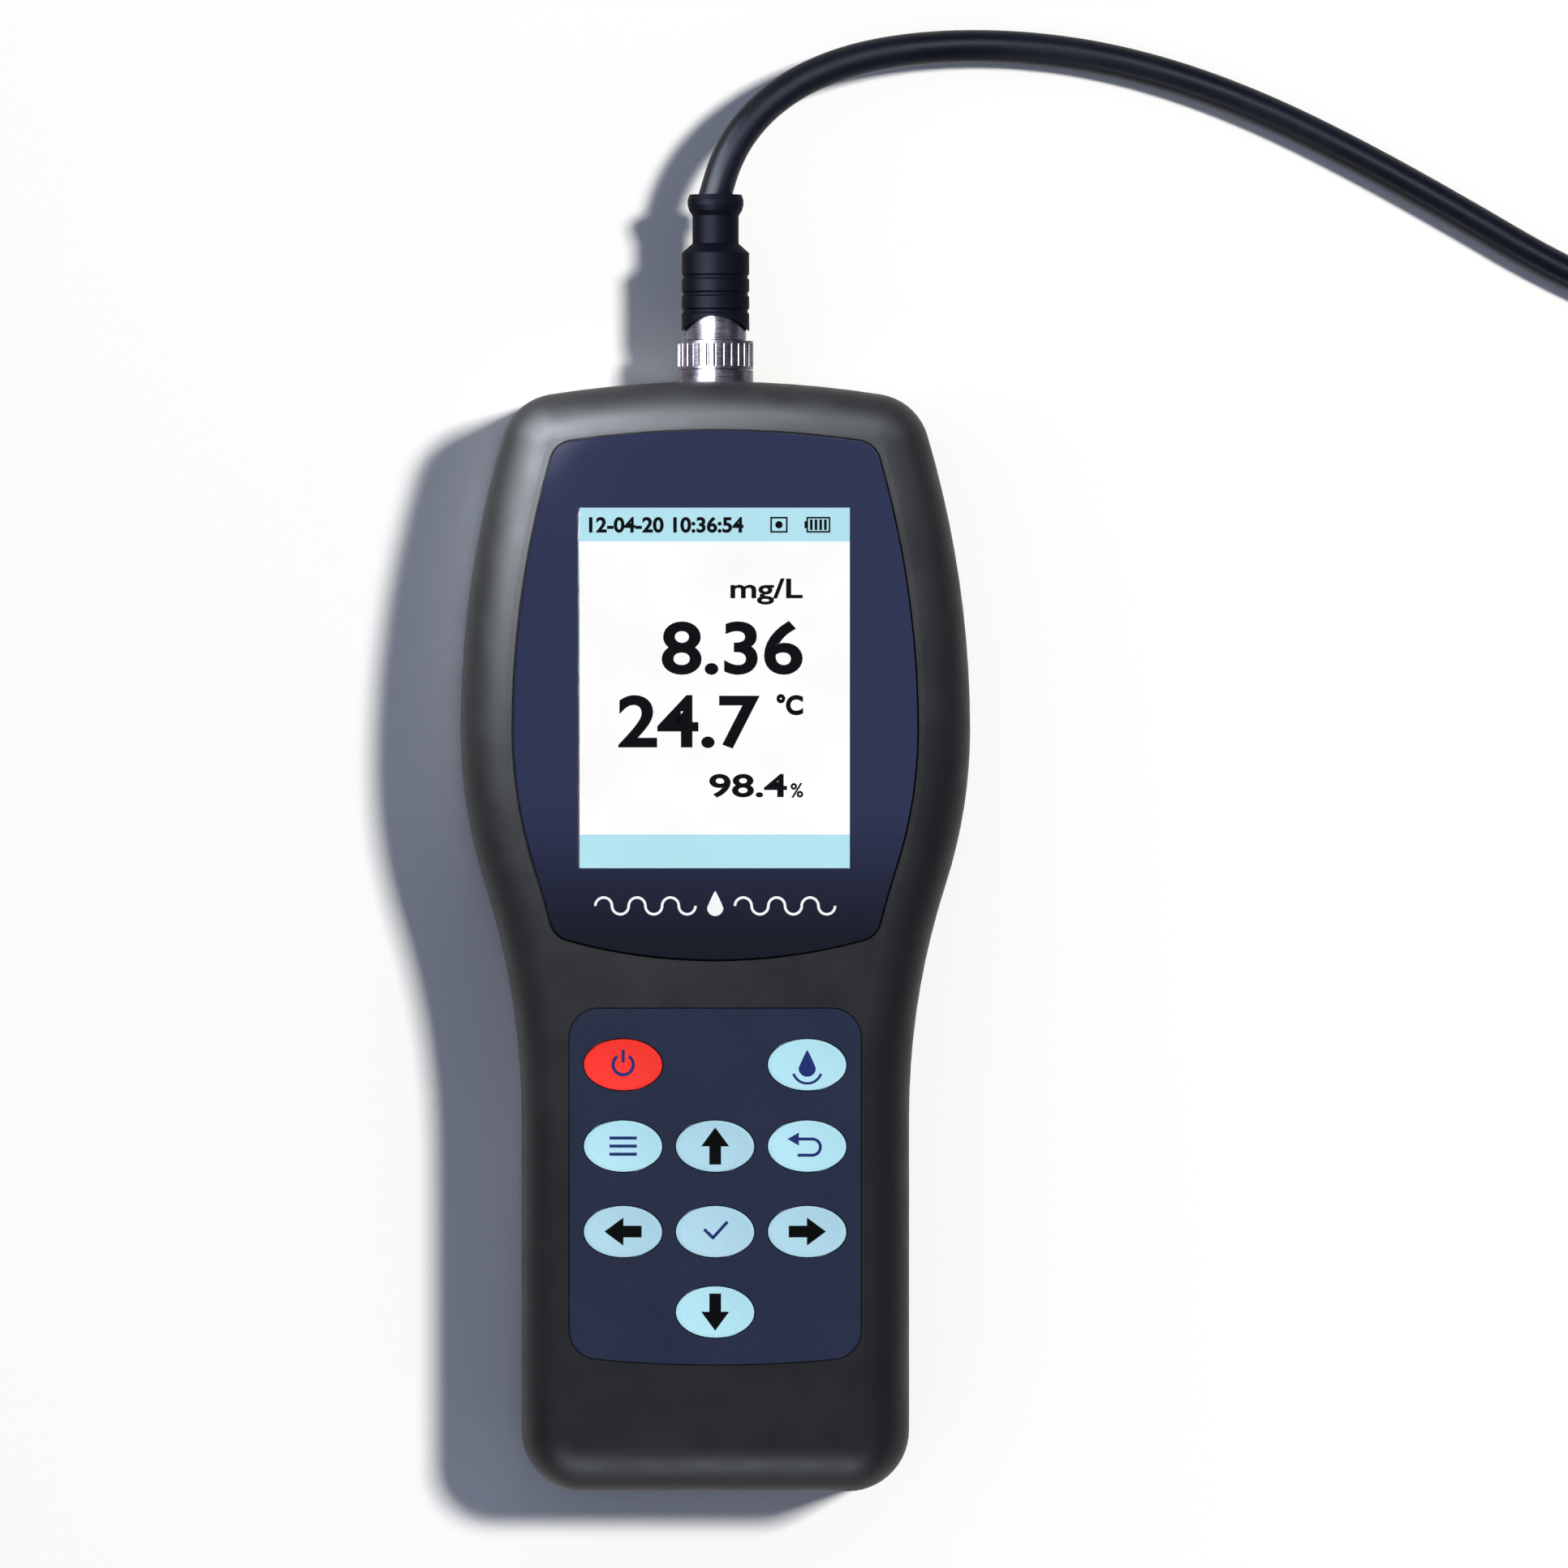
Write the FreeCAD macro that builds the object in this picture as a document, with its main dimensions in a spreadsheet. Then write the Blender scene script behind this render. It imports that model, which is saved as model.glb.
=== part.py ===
import FreeCAD, Part

import math
import os

import Sketcher
from FreeCAD import Placement, Rotation, Vector

# A hand-held dissolved oxygen meter, lying on its back with its probe plugged in.
# +Z is the side of the screen and the keys, +Y the end with the connector.
# The origin is the middle of the flat back face. All sizes are in millimetres.

doc = FreeCAD.newDocument("DissolvedOxygenMeter")
sizes = doc.addObject("Spreadsheet::Sheet", "Sizes")

dimensions = {
    # Housing outline, seen from the front.
    "HousingLength": 220,
    "WidestHalfWidth": 50.5,
    "WidestLevel": 41,
    "ShoulderRadius": 205,
    "HipRadius": 100,
    "WaistRadius": 150,
    "GripHalfWidth": 38.4,
    "CrownRadius": 210,
    "TopCornerRadius": 11.5,
    "BottomCornerRadius": 12.2,
    # Housing depth, walls and edges.
    "HousingThickness": 36,
    "SeamHeight": 18,
    "FrontEdgeRadius": 9,
    "RearEdgeRadius": 6,
    "WallThickness": 2.5,
    "FrontPlateThickness": 3,
    "FloorThickness": 4.6,
    "CoredFloorThickness": 2.5,
    "CoringStart": 8,
    "CoringPitch": 34,
    "CoringHalfWidth": 32,
    "RibThickness": 2,
    "GasketWidth": 0.8,
    "GasketDepth": 1,
    "GasketInset": 0.85,
    "FitGap": 0.1,
    # Screws that close the case: three pairs.
    "UpperScrewOffset": 35.2,
    "UpperScrewGap": 19.5,
    "MiddleScrewOffset": 41.3,
    "LowerScrewOffset": 26.4,
    "LowerScrewGap": 13,
    "CaseBossDiameter": 8,
    "CaseScrewDiameter": 3,
    "CaseScrewHeadDiameter": 5.4,
    "CaseScrewHeadHeight": 2,
    "CaseScrewHeadSeat": 6,
    "CaseScrewReach": 8,
    # Display window: a panel that follows the outline, with a crowned top and bottom.
    "LensInset": 10.2,
    "LensGap": 0.35,
    "LensTopGap": 9.6,
    "LensBottom": 4.9,
    "LensTopRadius": 200,
    "LensBottomRadius": 111,
    "LensCornerRadius": 5.2,
    "LensThickness": 1.5,
    "LensRecess": 1.6,
    "WindowWidth": 55,
    "WindowHeight": 72.8,
    "ScreenGap": 60.8,
    # Liquid crystal module behind the window.
    "ScreenWidth": 53.7,
    "ScreenHeight": 71.3,
    "ModuleWidth": 63.8,
    "ModuleHeight": 76.8,
    "ModuleDepth": 3.4,
    "ModuleWall": 0.5,
    "GlassThickness": 1.4,
    "CarrierWidth": 62.6,
    "CarrierWall": 2,
    # Keypad panel and keys.
    "KeypadHalfWidth": 29,
    "KeypadTop": 14,
    "KeypadBottom": 84.8,
    "KeypadCornerRadius": 6,
    "KeypadBottomRadius": 245,
    "KeypadGap": 0.2,
    "KeypadThickness": 0.9,
    "KeypadRecess": 1,
    "KeyWidth": 15.5,
    "KeyHeight": 10.1,
    "KeyPitch": 18.2,
    "KeyRowTop": 25.3,
    "KeyRowMenu": 41.4,
    "KeyRowArrows": 58.3,
    "KeyRowBottom": 74.2,
    "KeyGap": 0.2,
    "KeyDrop": 0.45,
    "KeyFlange": 0.8,
    "KeyFlangeThickness": 1,
    "KeyFlangeGap": 0.1,
    "KeyDish": 0.35,
    "KeyTravel": 0.8,
    "KeyStemDiameter": 4.2,
    "SwitchWidth": 6,
    "SwitchBodyHeight": 3.5,
    "SwitchPlungerHeight": 0.8,
    "SwitchPlungerDiameter": 3.4,
    # Main circuit board, screwed to the front shell.
    "BoardHalfWidth": 30.9,
    "BoardTopGap": 13,
    "BoardBottomGap": 22,
    "BoardThickness": 1.6,
    "BoardHeight": 26,
    "BoardBossDiameter": 6,
    "BoardBossOffset": 28,
    "BoardBossInset": 4,
    "BoardBossDrop": 46.2,
    "BoardScrewDiameter": 2.2,
    "BoardScrewReach": 5,
    "BoardScrewHeadDiameter": 4.4,
    "BoardScrewHeadHeight": 1.5,
    "BuzzerDiameter": 12,
    "BuzzerHeight": 4,
    "BuzzerOffset": 18,
    "BuzzerLevel": 0,
    "ChipWidth": 14,
    "ChipHeight": 1.4,
    "ClockCellDiameter": 12.5,
    "ClockCellHeight": 3,
    "HeaderWidth": 12,
    "HeaderDepth": 5,
    "HeaderHeight": 4.5,
    "HeaderGap": 17,
    "HarnessDiameter": 4,
    "LeadDiameter": 1.6,
    # Battery compartment and its sliding door.
    "CellDiameter": 14.5,
    "CellLength": 49.2,
    "CellNub": 1.3,
    "CellNubDiameter": 5.5,
    "CellPitch": 14.7,
    "BayHalfWidth": 29.6,
    "BayLength": 52.8,
    "BayEndGap": 23.6,
    "BayWall": 1.6,
    "ContactThickness": 0.5,
    "ContactWidth": 9,
    "SpringDiameter": 6,
    "DoorHalfWidth": 31.4,
    "DoorTongue": 1.1,
    "DoorLip": 6.6,
    "DoorSkin": 1.25,
    "DoorThickness": 2.4,
    "DoorGap": 0.15,
    "DoorGripGap": 18,
    "DoorGripPitch": 2.6,
    "DoorGripWidth": 1.2,
    "DoorGripDepth": 0.6,
    "DoorGripLength": 26,
    "DoorGripRows": 5,
    "CellLift": 0.3,
    # Round connector in the top end wall, on the line of the seam.
    "SocketThreadDiameter": 12,
    "SocketRimDiameter": 15,
    "SocketRimThickness": 2.4,
    "SocketBarrelDiameter": 13.6,
    "SocketBore": 9,
    "SocketDepth": 7,
    "SocketReach": 4.2,
    "SocketNutDiameter": 18,
    "SocketNutThickness": 2.6,
    "SocketInsertReach": 1.2,
    "PinDiameter": 1,
    "PinCircle": 5,
    "PinReach": 4,
    "PinTail": 2,
    "PinCount": 5,
    "ShaftGap": 0.06,
    # Plug: coupling nut, collar, moulded grip and cable boot.
    "NutDiameter": 15,
    "NutLength": 5.6,
    "NutLip": 0.9,
    "NutEndGap": 0.2,
    "KnurlDiameter": 0.8,
    "KnurlCount": 30,
    "CoreDiameter": 10,
    "CoreFlangeDiameter": 11.4,
    "CoreFlangeThickness": 0.4,
    "CoreLength": 8.6,
    "CollarDiameter": 12.2,
    "CollarLength": 6.1,
    "GripDiameter": 13.4,
    "GripLength": 15.5,
    "GripArchRadius": 8.9,
    "GripArchRise": 2.9,
    "GripRingWidth": 1.1,
    "GripRingPitch": 3.4,
    "GripRingDepth": 0.3,
    "GripRingStart": 3.4,
    "GripConeLength": 1.9,
    "NeckDiameter": 9.2,
    "NeckLength": 5.5,
    "BootRimDiameter": 11.1,
    "BootRimLength": 4.2,
    # Cable, its put-away coil and the probe on its far end.
    "CableDiameter": 6.5,
    "CoilMiddleRadius": 37.3,
    "CoilWidth": 19.5,
    "CoilHeight": 13,
    "CoilOffset": 218,
    "CoilLevel": 76.4,
    "LeadStart": 54,
    "LeadEnd": 34,
    "ProbeDiameter": 20,
    "ProbeBodyLength": 76,
    "ProbeWaistDiameter": 18.4,
    "ProbeWaistLength": 30,
    "ProbeCapDiameter": 19.4,
    "ProbeCapLength": 22,
    "ProbeCapBevel": 1.5,
    "ProbeSensorDiameter": 11,
    "ProbeSensorDepth": 0.8,
    "ProbeBootLength": 22,
    "ProbeBootDiameter": 11,
}
for row, (name, size) in enumerate(dimensions.items(), start=1):
    sizes.set(f"A{row}", name)
    sizes.set(f"B{row}", str(size))
    sizes.setAlias(f"B{row}", name)
doc.recompute()


def size(name):
    return float(sizes.get(name))


subParts = []


def newBody(name):
    body = doc.addObject("PartDesign::Body", name)
    body.AllowCompound = True
    subParts.append(body)
    return body


def newSketch(body, name, plane="XY_Plane", offset="0"):
    sketch = body.newObject("Sketcher::SketchObject", name)
    face = next(f for f in body.Origin.OriginFeatures if f.Role == plane)
    sketch.AttachmentSupport = [(face, "")]
    sketch.MapMode = "FlatFace"
    sketch.setExpression("AttachmentOffset.Base.z", offset)
    return sketch


# A dimension of a sketch that follows the sheet.
def bind(sketch, name, expression, *constraint):
    index = sketch.addConstraint(Sketcher.Constraint(*constraint))
    sketch.renameConstraint(index, name)
    sketch.setExpression(f"Constraints.{name}", expression)


def place(sketch, geometry, point, x, y, near=(1.0, 1.0)):
    tag = f"{geometry}_{point}"
    bind(sketch, f"x{tag}", x, "DistanceX", -1, 1, geometry, point, float(near[0]))
    bind(sketch, f"y{tag}", y, "DistanceY", -1, 1, geometry, point, float(near[1]))


def addCircle(sketch, x, y, diameter):
    circle = Part.Circle(Vector(1, 1, 0), Vector(0, 0, 1), 2)
    index = sketch.addGeometry(circle)
    bind(sketch, f"d{index}", diameter, "Diameter", index, 4.0)
    place(sketch, index, 3, x, y)


def addEllipse(sketch, x, y, width, height, near):
    centre = Vector(near[0], near[1], 0)
    ellipse = Part.Ellipse(centre + Vector(6, 0, 0), centre + Vector(0, 4, 0), centre)
    index = sketch.addGeometry(ellipse)
    sketch.exposeInternalGeometry(index)
    sketch.addConstraint(Sketcher.Constraint("Horizontal", index + 1))
    bind(sketch, f"w{index}", width, "Distance", index + 1, 12.0)
    bind(sketch, f"l{index}", height, "Distance", index + 2, 8.0)
    place(sketch, index, 3, x, y, near)


# A closed polygon, where each corner is a pair of expressions.
def addProfile(sketch, corners):
    count = len(corners)
    first = sketch.GeometryCount
    around = [
        Vector(10 * math.cos(2 * math.pi * k / count), 10 * math.sin(2 * math.pi * k / count), 0)
        for k in range(count)
    ]
    for k in range(count):
        sketch.addGeometry(Part.LineSegment(around[k], around[(k + 1) % count]))
    for k in range(count):
        after = first + (k + 1) % count
        sketch.addConstraint(Sketcher.Constraint("Coincident", first + k, 2, after, 1))
    for k, (x, y) in enumerate(corners):
        place(sketch, first + k, 1, x, y)


def addBox(sketch, left, right, low, high):
    addProfile(sketch, [(left, low), (right, low), (right, high), (left, high)])


def pad(body, sketch, length, upwards=True):
    feature = body.newObject("PartDesign::Pad", sketch.Name + "Pad")
    feature.Profile = sketch
    feature.Reversed = not upwards
    feature.setExpression("Length", length)
    sketch.Visibility = False
    return feature


# Cuts along the sketch's normal, or against it.
def pocket(body, sketch, length, along=True):
    feature = body.newObject("PartDesign::Pocket", sketch.Name + "Pocket")
    feature.Profile = sketch
    feature.Reversed = along
    feature.setExpression("Length", length)
    return feature


def edgesWhere(feature, test):
    doc.recompute()
    edges = feature.Shape.Edges
    return [f"Edge{k}" for k, edge in enumerate(edges, start=1) if test(edge)]


def roundOff(body, feature, radius, test):
    fillet = body.newObject("PartDesign::Fillet", feature.Name + "Fillet")
    fillet.Base = (feature, edgesWhere(feature, test))
    fillet.setExpression("Radius", radius)
    return fillet


# Picks the level edges at a height, all of them or those whose middle passes a test.
def atHeight(height, within=None):
    def test(edge):
        box = edge.BoundBox
        level = abs(box.ZMin - height) < 1e-4 and abs(box.ZMax - height) < 1e-4
        return level and (within is None or within(edge.CenterOfMass))

    return test


def upright(edge):
    box = edge.BoundBox
    return box.XLength < 1e-4 and box.YLength < 1e-4


def shareTangent(sketch, joints):
    for one, onePoint, other, otherPoint in joints:
        link = Sketcher.Constraint("Tangent", one, onePoint, other, otherPoint)
        sketch.addConstraint(link)


def arc(centre, radius, start, end):
    circle = Part.Circle(Vector(centre[0], centre[1], 0), Vector(0, 0, 1), radius)
    return Part.ArcOfCircle(circle, start, end)


# The point at two given distances from two centres, left (1) or right (-1) of their line.
def between(one, reachOne, other, reachOther, side):
    (ax, ay), (bx, by) = one, other
    span = math.hypot(bx - ax, by - ay)
    along = (reachOne**2 - reachOther**2 + span**2) / (2 * span)
    across = side * math.sqrt(reachOne**2 - along**2)
    ux, uy = (bx - ax) / span, (by - ay) / span
    return (ax + along * ux - across * uy, ay + along * uy + across * ux)


def heading(start, end):
    return math.atan2(end[1] - start[1], end[0] - start[0])


def mirrored(centre):
    return (-centre[0], centre[1])


# Centres of the shoulder, hip and waist arcs of the housing's right side.
def sideCentres():
    shoulder = (size("WidestHalfWidth") - size("ShoulderRadius"), size("WidestLevel"))
    hip = (size("WidestHalfWidth") - size("HipRadius"), size("WidestLevel"))
    reach = size("HipRadius") + size("WaistRadius")
    waistX = size("GripHalfWidth") + size("WaistRadius")
    waist = (waistX, hip[1] - math.sqrt(reach**2 - (waistX - hip[0]) ** 2))
    return shoulder, hip, waist


# The housing's outline, moved inwards by the sum of the named sizes.
def addHousingOutline(sketch, *insets):
    inset = sum(size(name) for name in insets)
    less = "".join(f" - Sizes.{name}" for name in insets)
    more = "".join(f" + Sizes.{name}" for name in insets)
    shoulder, hip, waist = sideCentres()
    half = size("HousingLength") / 2
    crown = (0, half - size("CrownRadius"))
    corner = between(
        crown,
        size("CrownRadius") - size("TopCornerRadius"),
        shoulder,
        size("ShoulderRadius") - size("TopCornerRadius"),
        -1,
    )
    gripX = size("GripHalfWidth") - inset
    foot = (size("GripHalfWidth") - size("BottomCornerRadius"), size("BottomCornerRadius") - half)
    bottomY = inset - half
    turnWaist = heading(waist, hip)
    turnHip = heading(hip, waist)
    turnCorner = heading(shoulder, corner)
    turnCrown = heading(crown, corner)
    radii = {
        name: size(name) - inset
        for name in ("ShoulderRadius", "HipRadius", "CrownRadius", "TopCornerRadius", "BottomCornerRadius")
    }
    radii["WaistRadius"] = size("WaistRadius") + inset

    def leftOf(angle):
        return math.pi - angle

    shapes = [
        Part.LineSegment(Vector(gripX, foot[1], 0), Vector(gripX, waist[1], 0)),
        arc(waist, radii["WaistRadius"], turnWaist, math.pi),
        arc(hip, radii["HipRadius"], turnHip, 0),
        arc(shoulder, radii["ShoulderRadius"], 0, turnCorner),
        arc(corner, radii["TopCornerRadius"], turnCorner, turnCrown),
        arc(crown, radii["CrownRadius"], turnCrown, leftOf(turnCrown)),
        arc(mirrored(corner), radii["TopCornerRadius"], leftOf(turnCrown), leftOf(turnCorner)),
        arc(mirrored(shoulder), radii["ShoulderRadius"], leftOf(turnCorner), math.pi),
        arc(mirrored(hip), radii["HipRadius"], math.pi, leftOf(turnHip)),
        arc(mirrored(waist), radii["WaistRadius"], 0, leftOf(turnWaist)),
        Part.LineSegment(Vector(-gripX, waist[1], 0), Vector(-gripX, foot[1], 0)),
        arc(mirrored(foot), radii["BottomCornerRadius"], math.pi, 1.5 * math.pi),
        Part.LineSegment(Vector(-foot[0], bottomY, 0), Vector(foot[0], bottomY, 0)),
        arc(foot, radii["BottomCornerRadius"], -0.5 * math.pi, 0),
    ]
    first = sketch.GeometryCount
    for shape in shapes:
        sketch.addGeometry(shape)
    indices = range(first, first + len(shapes))
    gripR, waistR, hipR, shoulderR, cornerR, top, cornerL, *others = indices
    shoulderL, hipL, waistL, gripL, footL, base, footR = others
    shareTangent(
        sketch,
        [
            (gripR, 2, waistR, 2),
            (waistR, 1, hipR, 1),
            (hipR, 2, shoulderR, 1),
            (shoulderR, 2, cornerR, 1),
            (cornerR, 2, top, 1),
            (top, 2, cornerL, 1),
            (cornerL, 2, shoulderL, 1),
            (shoulderL, 2, hipL, 1),
            (hipL, 2, waistL, 2),
            (waistL, 1, gripL, 1),
            (gripL, 2, footL, 1),
            (footL, 2, base, 1),
            (base, 2, footR, 1),
            (footR, 2, gripR, 1),
        ],
    )
    for index, name in (
        (shoulderR, "ShoulderRadius"),
        (shoulderL, "ShoulderRadius"),
        (hipR, "HipRadius"),
        (hipL, "HipRadius"),
        (top, "CrownRadius"),
        (cornerR, "TopCornerRadius"),
        (cornerL, "TopCornerRadius"),
        (footR, "BottomCornerRadius"),
        (footL, "BottomCornerRadius"),
    ):
        bind(sketch, f"r{index}", f"Sizes.{name}{less}", "Radius", index, radii[name])
    for index in (waistR, waistL):
        bind(sketch, f"r{index}", f"Sizes.WaistRadius{more}", "Radius", index, radii["WaistRadius"])
    for index in (gripR, gripL):
        sketch.addConstraint(Sketcher.Constraint("Vertical", index))
    sketch.addConstraint(Sketcher.Constraint("Horizontal", base))
    bind(sketch, f"gripR{gripR}", f"Sizes.GripHalfWidth{less}", "DistanceX", -1, 1, gripR, 1, gripX)
    bind(sketch, f"gripL{gripL}", f"-(Sizes.GripHalfWidth{less})", "DistanceX", -1, 1, gripL, 1, -gripX)
    bind(sketch, f"base{base}", f"-(Sizes.HousingLength / 2{less})", "DistanceY", -1, 1, base, 1, bottomY)
    place(sketch, top, 3, "0", "Sizes.HousingLength / 2 - Sizes.CrownRadius", crown)
    shoulderX = "Sizes.WidestHalfWidth - Sizes.ShoulderRadius"
    place(sketch, shoulderR, 3, shoulderX, "Sizes.WidestLevel", shoulder)
    place(sketch, shoulderL, 3, f"-({shoulderX})", "Sizes.WidestLevel", mirrored(shoulder))
    for index in (hipR, hipL):
        bind(sketch, f"hip{index}", "Sizes.WidestLevel", "DistanceY", -1, 1, index, 3, hip[1])


# The display window's outline. Its sides run parallel to the housing's sides.
def addLensOutline(sketch, gap=None):
    inset = size("LensInset") + (size(gap) if gap else 0)
    step = size(gap) if gap else 0
    more = f" + Sizes.{gap}" if gap else ""
    less = f" - Sizes.{gap}" if gap else ""
    shoulder, hip, waist = sideCentres()
    top = (0, size("HousingLength") / 2 - size("LensTopGap") - size("LensTopRadius"))
    bottom = (0, size("LensBottomRadius") - size("LensBottom"))
    radii = {
        "top": size("LensTopRadius") - step,
        "bottom": size("LensBottomRadius") - step,
        "corner": size("LensCornerRadius") - step,
        "shoulder": size("ShoulderRadius") - inset,
        "hip": size("HipRadius") - inset,
        "waist": size("WaistRadius") + inset,
    }
    corner = radii["corner"]
    upper = between(top, radii["top"] - corner, shoulder, radii["shoulder"] - corner, -1)
    lower = between(bottom, radii["bottom"] - corner, waist, radii["waist"] + corner, -1)
    turnTop = heading(top, upper)
    turnShoulder = heading(shoulder, upper)
    turnHip = heading(hip, waist)
    turnWaist = heading(waist, hip)
    turnLower = heading(waist, lower)
    turnBottom = heading(bottom, lower)

    def leftOf(angle):
        return math.pi - angle

    shapes = [
        arc(bottom, radii["bottom"], leftOf(turnBottom), turnBottom),
        arc(lower, radii["corner"], turnBottom, turnLower - math.pi),
        arc(waist, radii["waist"], turnWaist, turnLower),
        arc(hip, radii["hip"], turnHip, 0),
        arc(shoulder, radii["shoulder"], 0, turnShoulder),
        arc(upper, radii["corner"], turnShoulder, turnTop),
        arc(top, radii["top"], turnTop, leftOf(turnTop)),
        arc(mirrored(upper), radii["corner"], leftOf(turnTop), leftOf(turnShoulder)),
        arc(mirrored(shoulder), radii["shoulder"], leftOf(turnShoulder), math.pi),
        arc(mirrored(hip), radii["hip"], math.pi, leftOf(turnHip)),
        arc(mirrored(waist), radii["waist"], leftOf(turnLower), leftOf(turnWaist)),
        arc(mirrored(lower), radii["corner"], leftOf(turnLower - math.pi), leftOf(turnBottom)),
    ]
    for shape in shapes:
        sketch.addGeometry(shape)
    names = ["bottom", "corner", "waist", "hip", "shoulder", "corner", "top"]
    names += ["corner", "shoulder", "hip", "waist", "corner"]
    shareTangent(
        sketch,
        [
            (0, 2, 1, 1),
            (1, 2, 2, 2),
            (2, 1, 3, 1),
            (3, 2, 4, 1),
            (4, 2, 5, 1),
            (5, 2, 6, 1),
            (6, 2, 7, 1),
            (7, 2, 8, 1),
            (8, 2, 9, 1),
            (9, 2, 10, 2),
            (10, 1, 11, 1),
            (11, 2, 0, 1),
        ],
    )
    formulas = {
        "top": f"Sizes.LensTopRadius{less}",
        "bottom": f"Sizes.LensBottomRadius{less}",
        "corner": f"Sizes.LensCornerRadius{less}",
        "shoulder": f"Sizes.ShoulderRadius - Sizes.LensInset{less}",
        "hip": f"Sizes.HipRadius - Sizes.LensInset{less}",
        "waist": f"Sizes.WaistRadius + Sizes.LensInset{more}",
    }
    for index, name in enumerate(names):
        bind(sketch, f"r{index}", formulas[name], "Radius", index, radii[name])
    place(sketch, 6, 3, "0", "Sizes.HousingLength / 2 - Sizes.LensTopGap - Sizes.LensTopRadius", top)
    place(sketch, 0, 3, "0", "Sizes.LensBottomRadius - Sizes.LensBottom", bottom)
    shoulderX = "Sizes.WidestHalfWidth - Sizes.ShoulderRadius"
    place(sketch, 4, 3, shoulderX, "Sizes.WidestLevel", shoulder)
    place(sketch, 8, 3, f"-({shoulderX})", "Sizes.WidestLevel", mirrored(shoulder))
    for index in (3, 9):
        bind(sketch, f"hip{index}", "Sizes.WidestLevel", "DistanceY", -1, 1, index, 3, hip[1])
    waistX = "Sizes.GripHalfWidth + Sizes.WaistRadius"
    bind(sketch, "waistRight", waistX, "DistanceX", -1, 1, 2, 3, waist[0])
    bind(sketch, "waistLeft", f"-({waistX})", "DistanceX", -1, 1, 10, 3, -waist[0])


# The keypad panel's outline: a rounded rectangle with a crowned bottom edge.
def addKeypadOutline(sketch, gap=None):
    step = size(gap) if gap else 0
    less = f" - Sizes.{gap}" if gap else ""
    more = f" + Sizes.{gap}" if gap else ""
    half = size("KeypadHalfWidth") - step
    corner = size("KeypadCornerRadius") - step
    bow = size("KeypadBottomRadius") - step
    top = -size("KeypadTop") - step
    bottom = (0, size("KeypadBottomRadius") - size("KeypadBottom"))
    inner = half - corner
    lower = (inner, bottom[1] - math.sqrt((bow - corner) ** 2 - inner**2))
    turn = heading(bottom, lower)
    shapes = [
        Part.LineSegment(Vector(-inner, top, 0), Vector(inner, top, 0)),
        arc((inner, top - corner), corner, 0, math.pi / 2),
        Part.LineSegment(Vector(half, top - corner, 0), Vector(half, lower[1], 0)),
        arc(lower, corner, turn, 0),
        arc(bottom, bow, math.pi - turn, turn),
        arc(mirrored(lower), corner, math.pi, math.pi - turn),
        Part.LineSegment(Vector(-half, lower[1], 0), Vector(-half, top - corner, 0)),
        arc((-inner, top - corner), corner, math.pi / 2, math.pi),
    ]
    for shape in shapes:
        sketch.addGeometry(shape)
    shareTangent(
        sketch,
        [
            (0, 2, 1, 2),
            (1, 1, 2, 1),
            (2, 2, 3, 2),
            (3, 1, 4, 2),
            (4, 1, 5, 2),
            (5, 1, 6, 1),
            (6, 2, 7, 2),
            (7, 1, 0, 1),
        ],
    )
    for index in (1, 3, 5, 7):
        bind(sketch, f"r{index}", f"Sizes.KeypadCornerRadius{less}", "Radius", index, corner)
    bind(sketch, "bow", f"Sizes.KeypadBottomRadius{less}", "Radius", 4, bow)
    sketch.addConstraint(Sketcher.Constraint("Horizontal", 0))
    sketch.addConstraint(Sketcher.Constraint("Vertical", 2))
    sketch.addConstraint(Sketcher.Constraint("Vertical", 6))
    bind(sketch, "right", f"Sizes.KeypadHalfWidth{less}", "DistanceX", -1, 1, 2, 1, half)
    bind(sketch, "left", f"-(Sizes.KeypadHalfWidth{less})", "DistanceX", -1, 1, 6, 1, -half)
    bind(sketch, "top", f"-(Sizes.KeypadTop{more})", "DistanceY", -1, 1, 0, 1, top)
    place(sketch, 4, 3, "0", "Sizes.KeypadBottomRadius - Sizes.KeypadBottom", bottom)


# Each key: its column, from -1 to 1, and the size that gives its row.
keyPlaces = {
    "power": (-1, "KeyRowTop"),
    "measure": (1, "KeyRowTop"),
    "menu": (-1, "KeyRowMenu"),
    "up": (0, "KeyRowMenu"),
    "escape": (1, "KeyRowMenu"),
    "left": (-1, "KeyRowArrows"),
    "enter": (0, "KeyRowArrows"),
    "right": (1, "KeyRowArrows"),
    "down": (0, "KeyRowBottom"),
}


def keyCentre(name):
    column, row = keyPlaces[name]
    near = (column * size("KeyPitch"), -size(row))
    return f"{column} * Sizes.KeyPitch", f"-Sizes.{row}", near


def addKeyOval(sketch, name, grow="0"):
    x, y, near = keyCentre(name)
    addEllipse(sketch, x, y, f"Sizes.KeyWidth + 2 * {grow}", f"Sizes.KeyHeight + 2 * {grow}", near)


def addRoundRow(sketch, places, diameter):
    for x, y in places:
        addCircle(sketch, x, y, diameter)


def bothSides(offset, level):
    return [(f"-{offset}", level), (offset, level)]


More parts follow.
